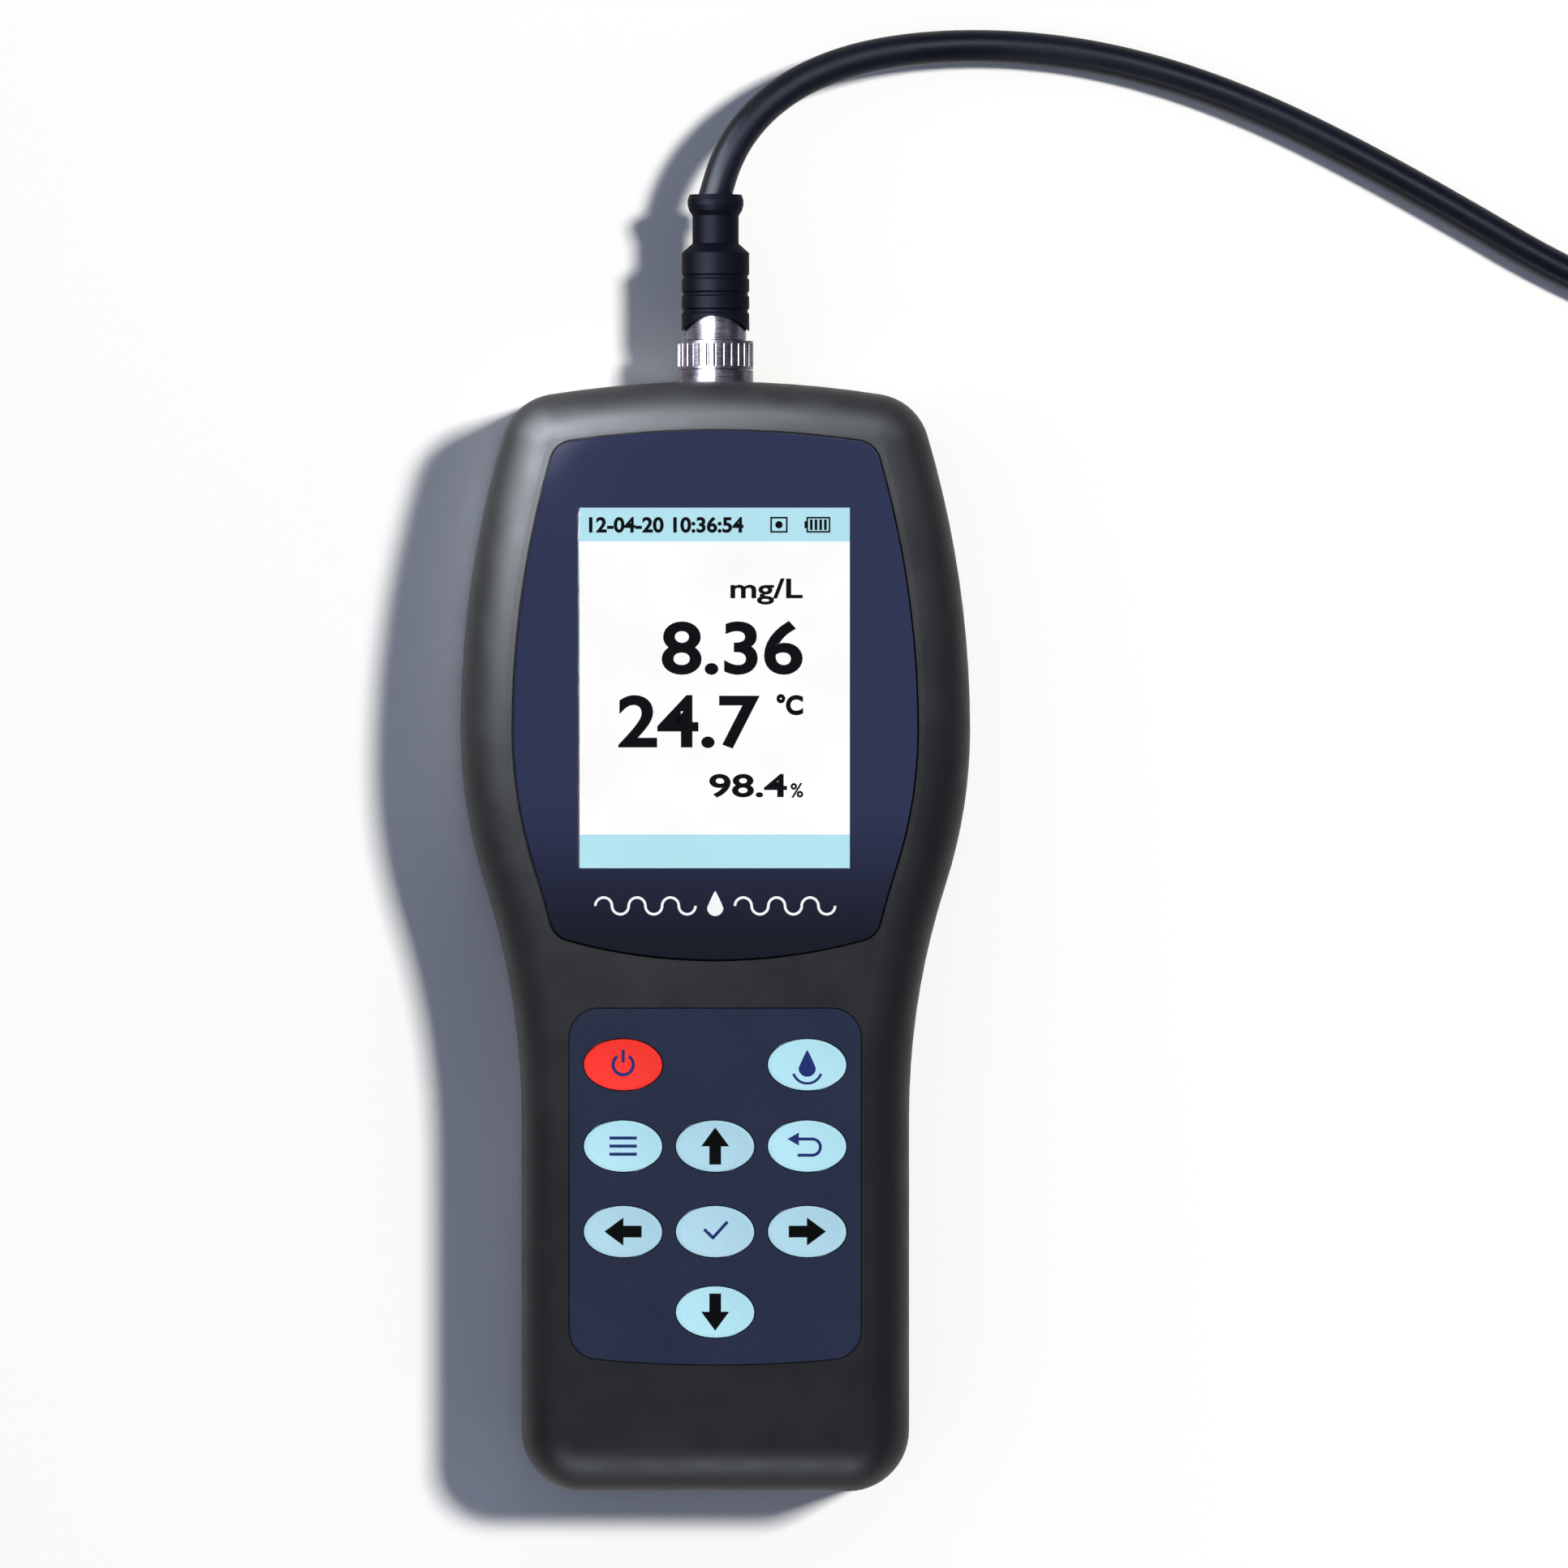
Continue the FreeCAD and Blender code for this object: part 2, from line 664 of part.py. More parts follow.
ceiling = "(Sizes.HousingThickness - Sizes.FrontPlateThickness)"
shellEnd = "(Sizes.HousingLength / 2)"
boardBack = "(Sizes.BoardHeight - Sizes.BoardThickness)"
boardTop = f"({shellEnd} - Sizes.BoardTopGap)"
boardBottom = f"({shellEnd} - Sizes.BoardBottomGap)"
bossUpper = f"({boardTop} - Sizes.BoardBossInset)"
bossLower = f"({boardBottom} - Sizes.BoardBossInset)"
headerLevel = f"({boardTop} - Sizes.HeaderGap)"
bayBottom = f"({shellEnd} - Sizes.BayEndGap)"
bayTop = f"({bayBottom} - Sizes.BayLength)"
doorTop = f"({bayTop} - Sizes.DoorLip)"
gripLevel = f"({shellEnd} - Sizes.DoorGripGap)"
screenLevel = f"({shellEnd} - Sizes.ScreenGap)"
bossMiddle = f"({screenLevel} - Sizes.BoardBossDrop)"
caseScrewPlaces = (
    bothSides("Sizes.UpperScrewOffset", f"{shellEnd} - Sizes.UpperScrewGap")
    + bothSides("Sizes.MiddleScrewOffset", "Sizes.WidestLevel")
    + bothSides("Sizes.LowerScrewOffset", f"-({shellEnd} - Sizes.LowerScrewGap)")
)
boardScrewPlaces = (
    bothSides("Sizes.BoardBossOffset", bossUpper)
    + bothSides("Sizes.BoardBossOffset", bossMiddle)
    + bothSides("Sizes.BoardBossOffset", f"-{bossLower}")
)


# The half hole in the top end wall that takes the connector's barrel.
def cutSocketHole(body, tag):
    hole = newSketch(body, f"{tag}SocketHole", "XZ_Plane", f"-({shellEnd} + 2 * Sizes.FitGap)")
    addCircle(hole, "0", "Sizes.SeamHeight", "Sizes.SocketBarrelDiameter + 2 * Sizes.FitGap")
    return pocket(body, hole, "2 * Sizes.WallThickness")


# A solid turned about the connector's axis. Each corner is a distance from the end of
# the housing and a radius.
def turned(name, corners, where=shellEnd):
    body = newBody(name)
    sketch = newSketch(body, f"{name}Profile", "YZ_Plane")
    sketch.setExpression("AttachmentOffset.Base.x", where)
    sketch.setExpression("AttachmentOffset.Base.y", "Sizes.SeamHeight")
    addProfile(sketch, corners)
    revolution = body.newObject("PartDesign::Revolution", f"{name}Revolution")
    revolution.Profile = sketch
    revolution.ReferenceAxis = (sketch, ["H_Axis"])
    revolution.Angle = 360
    return body, sketch


def pinPlaces():
    count = int(size("PinCount"))
    return [
        (
            f"Sizes.PinCircle / 2 * cos({360 * k / count})",
            f"Sizes.SeamHeight + Sizes.PinCircle / 2 * sin({360 * k / count})",
        )
        for k in range(count)
    ]


def newBox(name, corner, extents):
    box = doc.addObject("Part::Box", name)
    for axis, expression in zip("xyz", corner):
        box.setExpression(f"Placement.Base.{axis}", expression)
    for side, expression in zip(("Length", "Width", "Height"), extents):
        box.setExpression(side, expression)
    return box


def newCylinder(name, base, diameter, height):
    cylinder = doc.addObject("Part::Cylinder", name)
    for axis, expression in zip("xyz", base):
        cylinder.setExpression(f"Placement.Base.{axis}", expression)
    cylinder.setExpression("Radius", f"{diameter} / 2")
    cylinder.setExpression("Height", height)
    return cylinder


# A solid block of one shell's outline with its outer edge rounded.
def frontBlank(name):
    body = newBody(name)
    outline = newSketch(body, f"{name}Outline", offset="Sizes.SeamHeight")
    addHousingOutline(outline)
    block = pad(body, outline, "Sizes.HousingThickness - Sizes.SeamHeight")
    roundOff(body, block, "Sizes.FrontEdgeRadius", atHeight(size("HousingThickness")))
    return body


def rearBlank(name):
    body = newBody(name)
    outline = newSketch(body, f"{name}Outline")
    addHousingOutline(outline)
    block = pad(body, outline, "Sizes.SeamHeight")
    roundOff(body, block, "Sizes.RearEdgeRadius", atHeight(0))
    return body


def makeFrontShell():
    body = frontBlank("front_shell")
    cavity = newSketch(body, "frontCavity", offset="Sizes.SeamHeight")
    addHousingOutline(cavity, "WallThickness")
    hollow = pocket(body, cavity, f"{ceiling} - Sizes.SeamHeight")
    innerRadius = "Sizes.FrontEdgeRadius - Sizes.WallThickness"
    height = size("HousingThickness") - size("FrontPlateThickness")
    roundOff(body, hollow, innerRadius, atHeight(height))
    bosses = newSketch(body, "frontCaseBosses", offset="Sizes.SeamHeight")
    addRoundRow(bosses, caseScrewPlaces, "Sizes.CaseBossDiameter")
    pad(body, bosses, f"{ceiling} - Sizes.SeamHeight")
    pilots = newSketch(body, "frontCasePilots", offset="Sizes.SeamHeight")
    addRoundRow(pilots, caseScrewPlaces, "Sizes.CaseScrewDiameter")
    pocket(body, pilots, "Sizes.CaseScrewReach + 1")
    posts = newSketch(body, "boardPosts", offset="Sizes.BoardHeight")
    addRoundRow(posts, boardScrewPlaces, "Sizes.BoardBossDiameter")
    pad(body, posts, f"{ceiling} - Sizes.BoardHeight")
    holes = newSketch(body, "boardPostHoles", offset="Sizes.BoardHeight")
    addRoundRow(holes, boardScrewPlaces, "Sizes.BoardScrewDiameter")
    pocket(body, holes, "Sizes.BoardScrewReach + 0.5")
    recess = newSketch(body, "lensRecess", offset="Sizes.HousingThickness - Sizes.LensRecess")
    addLensOutline(recess)
    pocket(body, recess, "Sizes.LensRecess")
    window = newSketch(body, "window", offset=ceiling)
    addBox(
        window,
        "-Sizes.WindowWidth / 2",
        "Sizes.WindowWidth / 2",
        f"{screenLevel} - Sizes.WindowHeight / 2",
        f"{screenLevel} + Sizes.WindowHeight / 2",
    )
    pocket(body, window, "Sizes.FrontPlateThickness")
    panel = newSketch(body, "keypadRecess", offset="Sizes.HousingThickness - Sizes.KeypadRecess")
    addKeypadOutline(panel)
    pocket(body, panel, "Sizes.KeypadRecess")
    ovals = newSketch(body, "frontKeyHoles", offset=ceiling)
    for name in keyPlaces:
        addKeyOval(ovals, name, "Sizes.KeyGap")
    pocket(body, ovals, "Sizes.FrontPlateThickness")
    cutSocketHole(body, "front")


bayCeiling = "(Sizes.DoorThickness + Sizes.CellLift + Sizes.CellDiameter + Sizes.FitGap)"


def makeRearShell():
    body = rearBlank("rear_shell")
    cavity = newSketch(body, "rearCavity", offset="Sizes.FloorThickness")
    addHousingOutline(cavity, "WallThickness")
    pocket(body, cavity, "Sizes.SeamHeight - Sizes.FloorThickness")
    coring = newSketch(body, "floorCoring", offset="Sizes.CoredFloorThickness")
    low = f"Sizes.CoringStart - {doorTop}"
    for row in range(3):
        start = f"{low} + {row} * Sizes.CoringPitch"
        end = f"{low} + {row + 1} * Sizes.CoringPitch - Sizes.RibThickness"
        addBox(coring, "-Sizes.CoringHalfWidth", "-Sizes.RibThickness / 2", start, end)
        addBox(coring, "Sizes.RibThickness / 2", "Sizes.CoringHalfWidth", start, end)
    pocket(body, coring, "Sizes.FloorThickness - Sizes.CoredFloorThickness")
    bosses = newSketch(body, "rearCaseBosses", offset="Sizes.FloorThickness")
    addRoundRow(bosses, caseScrewPlaces, "Sizes.CaseBossDiameter")
    pad(body, bosses, "Sizes.SeamHeight - Sizes.FloorThickness")
    bay = newSketch(body, "bayWalls", offset="Sizes.FloorThickness")
    addBox(
        bay,
        "-(Sizes.BayHalfWidth + Sizes.BayWall)",
        "Sizes.BayHalfWidth + Sizes.BayWall",
        f"-({bayBottom} + Sizes.BayWall)",
        f"-({bayTop} - Sizes.BayWall)",
    )
    pad(body, bay, f"{bayCeiling} + Sizes.BayWall - Sizes.FloorThickness")
    space = newSketch(body, "baySpace")
    addBox(space, "-Sizes.BayHalfWidth", "Sizes.BayHalfWidth", f"-{bayBottom}", f"-{bayTop}")
    pocket(body, space, bayCeiling)
    slot = newSketch(body, "doorSlot", "XZ_Plane", doorTop)
    addDoorProfile(slot, "Sizes.DoorGap")
    pocket(body, slot, shellEnd)
    shanks = newSketch(body, "rearCaseHoles")
    addRoundRow(shanks, caseScrewPlaces, "Sizes.CaseScrewDiameter + 4 * Sizes.FitGap")
    pocket(body, shanks, "Sizes.SeamHeight")
    seats = newSketch(body, "rearCaseSeats")
    addRoundRow(seats, caseScrewPlaces, "Sizes.CaseScrewHeadDiameter + 4 * Sizes.FitGap")
    pocket(body, seats, "Sizes.CaseScrewHeadSeat")
    groove = newSketch(body, "gasketGroove", offset="Sizes.SeamHeight - Sizes.GasketDepth")
    addHousingOutline(groove, "GasketInset")
    addHousingOutline(groove, "GasketInset", "GasketWidth")
    pocket(body, groove, "Sizes.GasketDepth")
    cutSocketHole(body, "rear")


def makeGasket():
    body = newBody("case_gasket")
    ring = newSketch(body, "gasketRing", offset="Sizes.SeamHeight - Sizes.GasketDepth")
    addHousingOutline(ring, "GasketInset")
    addHousingOutline(ring, "GasketInset", "GasketWidth")
    pad(body, ring, "Sizes.GasketDepth")
    hole = newSketch(body, "gasketSocketHole", "XZ_Plane", f"-({shellEnd} + 2 * Sizes.FitGap)")
    addCircle(hole, "0", "Sizes.SeamHeight", "Sizes.SocketBarrelDiameter + 2 * Sizes.FitGap")
    pocket(body, hole, "2 * Sizes.WallThickness")


# The door's section: an outer plate, and a wider inner one whose edges slide in the
# shell's grooves.
def addDoorProfile(sketch, gap="0"):
    outer = f"(Sizes.DoorHalfWidth + {gap})"
    tongue = f"(Sizes.DoorHalfWidth + Sizes.DoorTongue + {gap})"
    low = f"(Sizes.DoorSkin - {gap})"
    high = f"(Sizes.DoorThickness + {gap})"
    addProfile(
        sketch,
        [
            (f"-{outer}", "0"),
            (outer, "0"),
            (outer, low),
            (tongue, low),
            (tongue, high),
            (f"-{tongue}", high),
            (f"-{tongue}", low),
            (f"-{outer}", low),
        ],
    )


def makeDoor():
    blank = rearBlank("doorBounds")
    subParts.remove(blank)
    plate = newBody("doorPlate")
    subParts.remove(plate)
    section = newSketch(plate, "doorSection", "XZ_Plane", f"{doorTop} + Sizes.DoorGap")
    addDoorProfile(section)
    pad(plate, section, shellEnd)
    ridge = newSketch(plate, "doorGripGroove")
    addBox(
        ridge,
        "-Sizes.DoorGripLength / 2",
        "Sizes.DoorGripLength / 2",
        f"-{gripLevel}",
        f"-{gripLevel} + Sizes.DoorGripWidth",
    )
    cut = pocket(plate, ridge, "Sizes.DoorGripDepth")
    doc.recompute()
    rows = plate.newObject("PartDesign::LinearPattern", "doorGripRows")
    rows.Originals = [cut]
    rows.Direction = (ridge, ["V_Axis"])
    rows.setExpression("Length", "(Sizes.DoorGripRows - 1) * Sizes.DoorGripPitch")
    rows.setExpression("Occurrences", "Sizes.DoorGripRows")
    plate.Tip = rows
    door = doc.addObject("Part::Common", "battery_door")
    door.Base = plate
    door.Tool = blank
    subParts.append(door)


def makeDisplay():
    lens = newBody("display_lens")
    outline = newSketch(lens, "lensOutline", offset="Sizes.HousingThickness - Sizes.LensRecess")
    addLensOutline(outline, "LensGap")
    pad(lens, outline, "Sizes.LensThickness")
    moduleBase = f"({ceiling} - Sizes.ModuleDepth)"
    frame = newBody("lcd_frame")
    block = newSketch(frame, "frameBlock", offset=moduleBase)
    addCentredBox(block, "Sizes.ModuleWidth", "Sizes.ModuleHeight")
    pad(frame, block, "Sizes.ModuleDepth")
    room = newSketch(frame, "frameRoom", offset=moduleBase)
    walls = "2 * Sizes.ModuleWall"
    addCentredBox(room, f"Sizes.ModuleWidth - {walls}", f"Sizes.ModuleHeight - {walls}")
    pocket(frame, room, "Sizes.ModuleDepth - Sizes.ModuleWall")
    view = newSketch(frame, "frameView", offset=moduleBase)
    addCentredBox(view, "Sizes.ScreenWidth", "Sizes.ScreenHeight")
    pocket(frame, view, "Sizes.ModuleDepth")
    inside = "(2 * Sizes.ModuleWall + 2 * Sizes.FitGap)"
    glass = newBody("lcd_glass")
    sheet = newSketch(glass, "glassSheet", offset=f"{ceiling} - Sizes.ModuleWall - Sizes.GlassThickness")
    addCentredBox(sheet, f"Sizes.ModuleWidth - {inside}", f"Sizes.ModuleHeight - {inside}")
    pad(glass, sheet, "Sizes.GlassThickness")
    light = newBody("lcd_backlight")
    plate = newSketch(light, "lightPlate", offset=moduleBase)
    addCentredBox(plate, f"Sizes.ModuleWidth - {inside}", f"Sizes.ModuleHeight - {inside}")
    pad(light, plate, "Sizes.ModuleDepth - Sizes.ModuleWall - Sizes.GlassThickness")
    carrier = newBody("lcd_carrier")
    ring = newSketch(carrier, "carrierRing", offset="Sizes.BoardHeight")
    addCentredBox(ring, "Sizes.CarrierWidth", "Sizes.ModuleHeight")
    walls = "2 * Sizes.CarrierWall"
    addCentredBox(ring, f"Sizes.CarrierWidth - {walls}", f"Sizes.ModuleHeight - {walls}")
    pad(carrier, ring, f"{moduleBase} - Sizes.BoardHeight")


# A rectangle on the middle of the screen.
def addCentredBox(sketch, width, height):
    addBox(
        sketch,
        f"-({width}) / 2",
        f"({width}) / 2",
        f"{screenLevel} - ({height}) / 2",
        f"{screenLevel} + ({height}) / 2",
    )


def makeKeypad():
    panel = newBody("keypad_panel")
    outline = newSketch(panel, "panelOutline", offset="Sizes.HousingThickness - Sizes.KeypadRecess")
    addKeypadOutline(outline, "KeypadGap")
    pad(panel, outline, "Sizes.KeypadThickness")
    ovals = newSketch(panel, "panelKeyHoles", offset="Sizes.HousingThickness - Sizes.KeypadRecess")
    for name in keyPlaces:
        addKeyOval(ovals, name, "Sizes.KeyGap")
    pocket(panel, ovals, "Sizes.KeypadThickness")


# A key: a dished oval cap, a wider flange under the front plate, and a short stem that
# stops a little above its switch.
def makeKey(name):
    body = newBody(f"key_{name}")
    x, y = keyCentre(name)[:2]
    flangeTop = f"({ceiling} - Sizes.KeyFlangeGap)"
    flangeBase = f"({flangeTop} - Sizes.KeyFlangeThickness)"
    switchTop = "Sizes.BoardHeight + Sizes.SwitchBodyHeight + Sizes.SwitchPlungerHeight"
    stemEnd = f"({switchTop} + Sizes.KeyTravel + Sizes.FitGap)"
    capTop = "(Sizes.HousingThickness - Sizes.KeypadRecess + Sizes.KeypadThickness - Sizes.KeyDrop)"
    flange = newSketch(body, f"{name}Flange", offset=flangeBase)
    addKeyOval(flange, name, "Sizes.KeyFlange")
    pad(body, flange, "Sizes.KeyFlangeThickness")
    cap = newSketch(body, f"{name}Cap", offset=flangeBase)
    addKeyOval(cap, name)
    pad(body, cap, f"{capTop} - {flangeBase}")
    stem = newSketch(body, f"{name}Stem", offset=stemEnd)
    addCircle(stem, x, y, "Sizes.KeyStemDiameter")
    pad(body, stem, f"{flangeTop} - {stemEnd}")
    dish = body.newObject("PartDesign::SubtractiveEllipsoid", f"{name}Dish")
    dish.setExpression("Radius1", "4 * Sizes.KeyDish")
    dish.setExpression("Radius2", "0.68 * Sizes.KeyWidth")
    dish.setExpression("Radius3", "0.68 * Sizes.KeyHeight")
    dish.setExpression("Placement.Base.x", x)
    dish.setExpression("Placement.Base.y", y)
    dish.setExpression("Placement.Base.z", f"{capTop} + 3 * Sizes.KeyDish")


def makeBoard():
    board = newBody("main_board")
    outline = newSketch(board, "boardOutline", offset=boardBack)
    addBox(outline, "-Sizes.BoardHalfWidth", "Sizes.BoardHalfWidth", f"-{boardBottom}", boardTop)
    sheet = pad(board, outline, "Sizes.BoardThickness")
    roundOff(board, sheet, "2", upright)
    holes = newSketch(board, "boardHoles", offset=boardBack)
    addRoundRow(holes, boardScrewPlaces, "Sizes.BoardScrewDiameter + 4 * Sizes.FitGap")
    pocket(board, holes, "Sizes.BoardThickness")
    switches = newBody("key_switches")
    cases = newSketch(switches, "switchCases", offset="Sizes.BoardHeight")
    plungers = newSketch(switches, "switchPlungers", offset="Sizes.BoardHeight")
    for name in keyPlaces:
        x, y = keyCentre(name)[:2]
        half = "Sizes.SwitchWidth / 2"
        addBox(cases, f"{x} - {half}", f"{x} + {half}", f"{y} - {half}", f"{y} + {half}")
        addCircle(plungers, x, y, "Sizes.SwitchPlungerDiameter")
    pad(switches, cases, "Sizes.SwitchBodyHeight")
    pad(switches, plungers, "Sizes.SwitchBodyHeight + Sizes.SwitchPlungerHeight")
    screws = newBody("board_screws")
    heads = newSketch(screws, "boardScrewHeads", offset=f"{boardBack} - Sizes.BoardScrewHeadHeight")
    addRoundRow(heads, boardScrewPlaces, "Sizes.BoardScrewHeadDiameter")
    pad(screws, heads, "Sizes.BoardScrewHeadHeight")
    shanks = newSketch(screws, "boardScrewShanks", offset=boardBack)
    addRoundRow(shanks, boardScrewPlaces, "Sizes.BoardScrewDiameter - Sizes.FitGap")
    pad(screws, shanks, "Sizes.BoardThickness + Sizes.BoardScrewReach")
    buzzer = newCylinder(
        "buzzer",
        ("Sizes.BuzzerOffset", "Sizes.BuzzerLevel", f"{boardBack} - Sizes.BuzzerHeight"),
        "Sizes.BuzzerDiameter",
        "Sizes.BuzzerHeight",
    )
    processor = newBox(
        "processor",
        (
            "-Sizes.ChipWidth / 2",
            f"{screenLevel} - Sizes.ChipWidth / 2",
            f"{boardBack} - Sizes.ChipHeight",
        ),
        ("Sizes.ChipWidth", "Sizes.ChipWidth", "Sizes.ChipHeight"),
    )
    header = newBox(
        "socket_header",
        ("-Sizes.HeaderWidth / 2", headerLevel, f"{boardBack} - Sizes.HeaderHeight"),
        ("Sizes.HeaderWidth", "Sizes.HeaderDepth", "Sizes.HeaderHeight"),
    )
    clock = newCylinder(
        "clock_cell",
        ("-Sizes.BuzzerOffset", "Sizes.BuzzerLevel", f"{boardBack} - Sizes.ClockCellHeight"),
        "Sizes.ClockCellDiameter",
        "Sizes.ClockCellHeight",
    )
    subParts.extend([buzzer, processor, header, clock])


def makeCaseScrews():
    screws = newBody("case_screws")
    headBase = "Sizes.CaseScrewHeadSeat - Sizes.CaseScrewHeadHeight"
    heads = newSketch(screws, "caseScrewHeads", offset=headBase)
    addRoundRow(heads, caseScrewPlaces, "Sizes.CaseScrewHeadDiameter")
    pad(screws, heads, "Sizes.CaseScrewHeadHeight")
    drives = newSketch(screws, "caseScrewDrives", offset=headBase)
    addRoundRow(drives, caseScrewPlaces, "Sizes.CaseScrewHeadDiameter / 2")
    pocket(screws, drives, "Sizes.CaseScrewHeadHeight / 2")
    shanks = newSketch(screws, "caseScrewShanks", offset="Sizes.CaseScrewHeadSeat")
    addRoundRow(shanks, caseScrewPlaces, "Sizes.CaseScrewDiameter - Sizes.FitGap")
    pad(screws, shanks, "Sizes.SeamHeight - Sizes.CaseScrewHeadSeat + Sizes.CaseScrewReach")


cellHeight = "(Sizes.DoorThickness + Sizes.CellLift + Sizes.CellDiameter / 2)"


def cellX(index):
    return f"({index} - 1.5) * Sizes.CellPitch"


# Four cells side by side, alternate ones turned round, with a plate at each end and a
# spring behind each flat end.
def makeBatteries():
    nubRun = "(Sizes.ContactThickness + Sizes.CellNub)"
    cells = newBody("battery_cells")
    for index in range(4):
        tipUp = index % 2 == 0
        start = f"{bayTop} + {nubRun}" if tipUp else f"{bayBottom} - {nubRun} - Sizes.CellLength"
        can = newSketch(cells, f"cellCan{index}", "XZ_Plane", start)
        addCircle(can, cellX(index), cellHeight, "Sizes.CellDiameter")
        pad(cells, can, "Sizes.CellLength")
        tip = f"{bayTop} + Sizes.ContactThickness" if tipUp else f"{bayBottom} - {nubRun}"
        nub = newSketch(cells, f"cellNub{index}", "XZ_Plane", tip)
        addCircle(nub, cellX(index), cellHeight, "Sizes.CellNubDiameter")
        pad(cells, nub, "Sizes.CellNub")
    for name, start in (
        ("battery_contacts_upper", bayTop),
        ("battery_contacts_lower", f"{bayBottom} - Sizes.ContactThickness"),
    ):
        contacts = newBody(name)
        plates = newSketch(contacts, f"{name}Plates", "XZ_Plane", start)
        half = "Sizes.ContactWidth / 2"
        for index in range(4):
            addBox(
                plates,
                f"{cellX(index)} - {half}",
                f"{cellX(index)} + {half}",
                f"{cellHeight} - {half}",
                f"{cellHeight} + {half}",
            )
        pad(contacts, plates, "Sizes.ContactThickness")
    springs = newBody("battery_springs")
    for index in range(4):
        atBottom = index % 2 == 0
        gap = f"({bayBottom} - {bayTop} - Sizes.CellLength - Sizes.CellNub - 2 * Sizes.ContactThickness)"
        start = (
            f"{bayBottom} - Sizes.ContactThickness - {gap}"
            if atBottom
            else f"{bayTop} + Sizes.ContactThickness"
        )
        coil = newSketch(springs, f"springCoil{index}", "XZ_Plane", start)
        addCircle(coil, cellX(index), cellHeight, "Sizes.SpringDiameter")
        addCircle(coil, cellX(index), cellHeight, "Sizes.SpringDiameter - 4 * Sizes.ContactThickness")
        pad(springs, coil, gap)


def makeSocket():
    bore = "Sizes.SocketBore / 2"
    thread = "Sizes.SocketThreadDiameter / 2"
    rim = "Sizes.SocketRimThickness"
    turned(
        "socket_shell",
        [
            ("-Sizes.SocketDepth", bore),
            ("-Sizes.SocketDepth", "Sizes.SocketBarrelDiameter / 2"),
            ("0", "Sizes.SocketBarrelDiameter / 2"),
            ("0", "Sizes.SocketRimDiameter / 2"),
            (rim, "Sizes.SocketRimDiameter / 2"),
            (rim, thread),
            (f"{rim} + Sizes.SocketReach", thread),
            (f"{rim} + Sizes.SocketReach", bore),
        ],
    )
    inside = "(Sizes.WallThickness + 3 * Sizes.FitGap)"
    nutStart = f"-({inside} + Sizes.SocketNutThickness)"
    overBarrel = "Sizes.SocketBarrelDiameter / 2 + Sizes.FitGap / 2"
    turned(
        "socket_nut",
        [
            (nutStart, overBarrel),
            (nutStart, "Sizes.SocketNutDiameter / 2"),
            (f"-{inside}", "Sizes.SocketNutDiameter / 2"),
            (f"-{inside}", overBarrel),
        ],
    )
    insert = turned(
        "socket_insert",
        [
            ("-Sizes.SocketDepth", "0"),
            ("-Sizes.SocketDepth", f"{bore} - Sizes.FitGap / 2"),
            ("Sizes.SocketInsertReach", f"{bore} - Sizes.FitGap / 2"),
            ("Sizes.SocketInsertReach", "0"),
        ],
    )[0]
    holes = newSketch(insert, "insertHoles", "XZ_Plane", f"-({shellEnd} + Sizes.SocketInsertReach)")
    addRoundRow(holes, pinPlaces(), "Sizes.PinDiameter + Sizes.FitGap")
    pocket(insert, holes, "Sizes.SocketInsertReach + Sizes.SocketDepth")
    pins = newBody("socket_pins")
    pinEnd = f"({shellEnd} + Sizes.SocketInsertReach + Sizes.PinReach)"
    rods = newSketch(pins, "pinRods", "XZ_Plane", f"-{pinEnd}")
    addRoundRow(rods, pinPlaces(), "Sizes.PinDiameter")
    pad(pins, rods, "Sizes.SocketInsertReach + Sizes.PinReach + Sizes.SocketDepth + Sizes.PinTail")


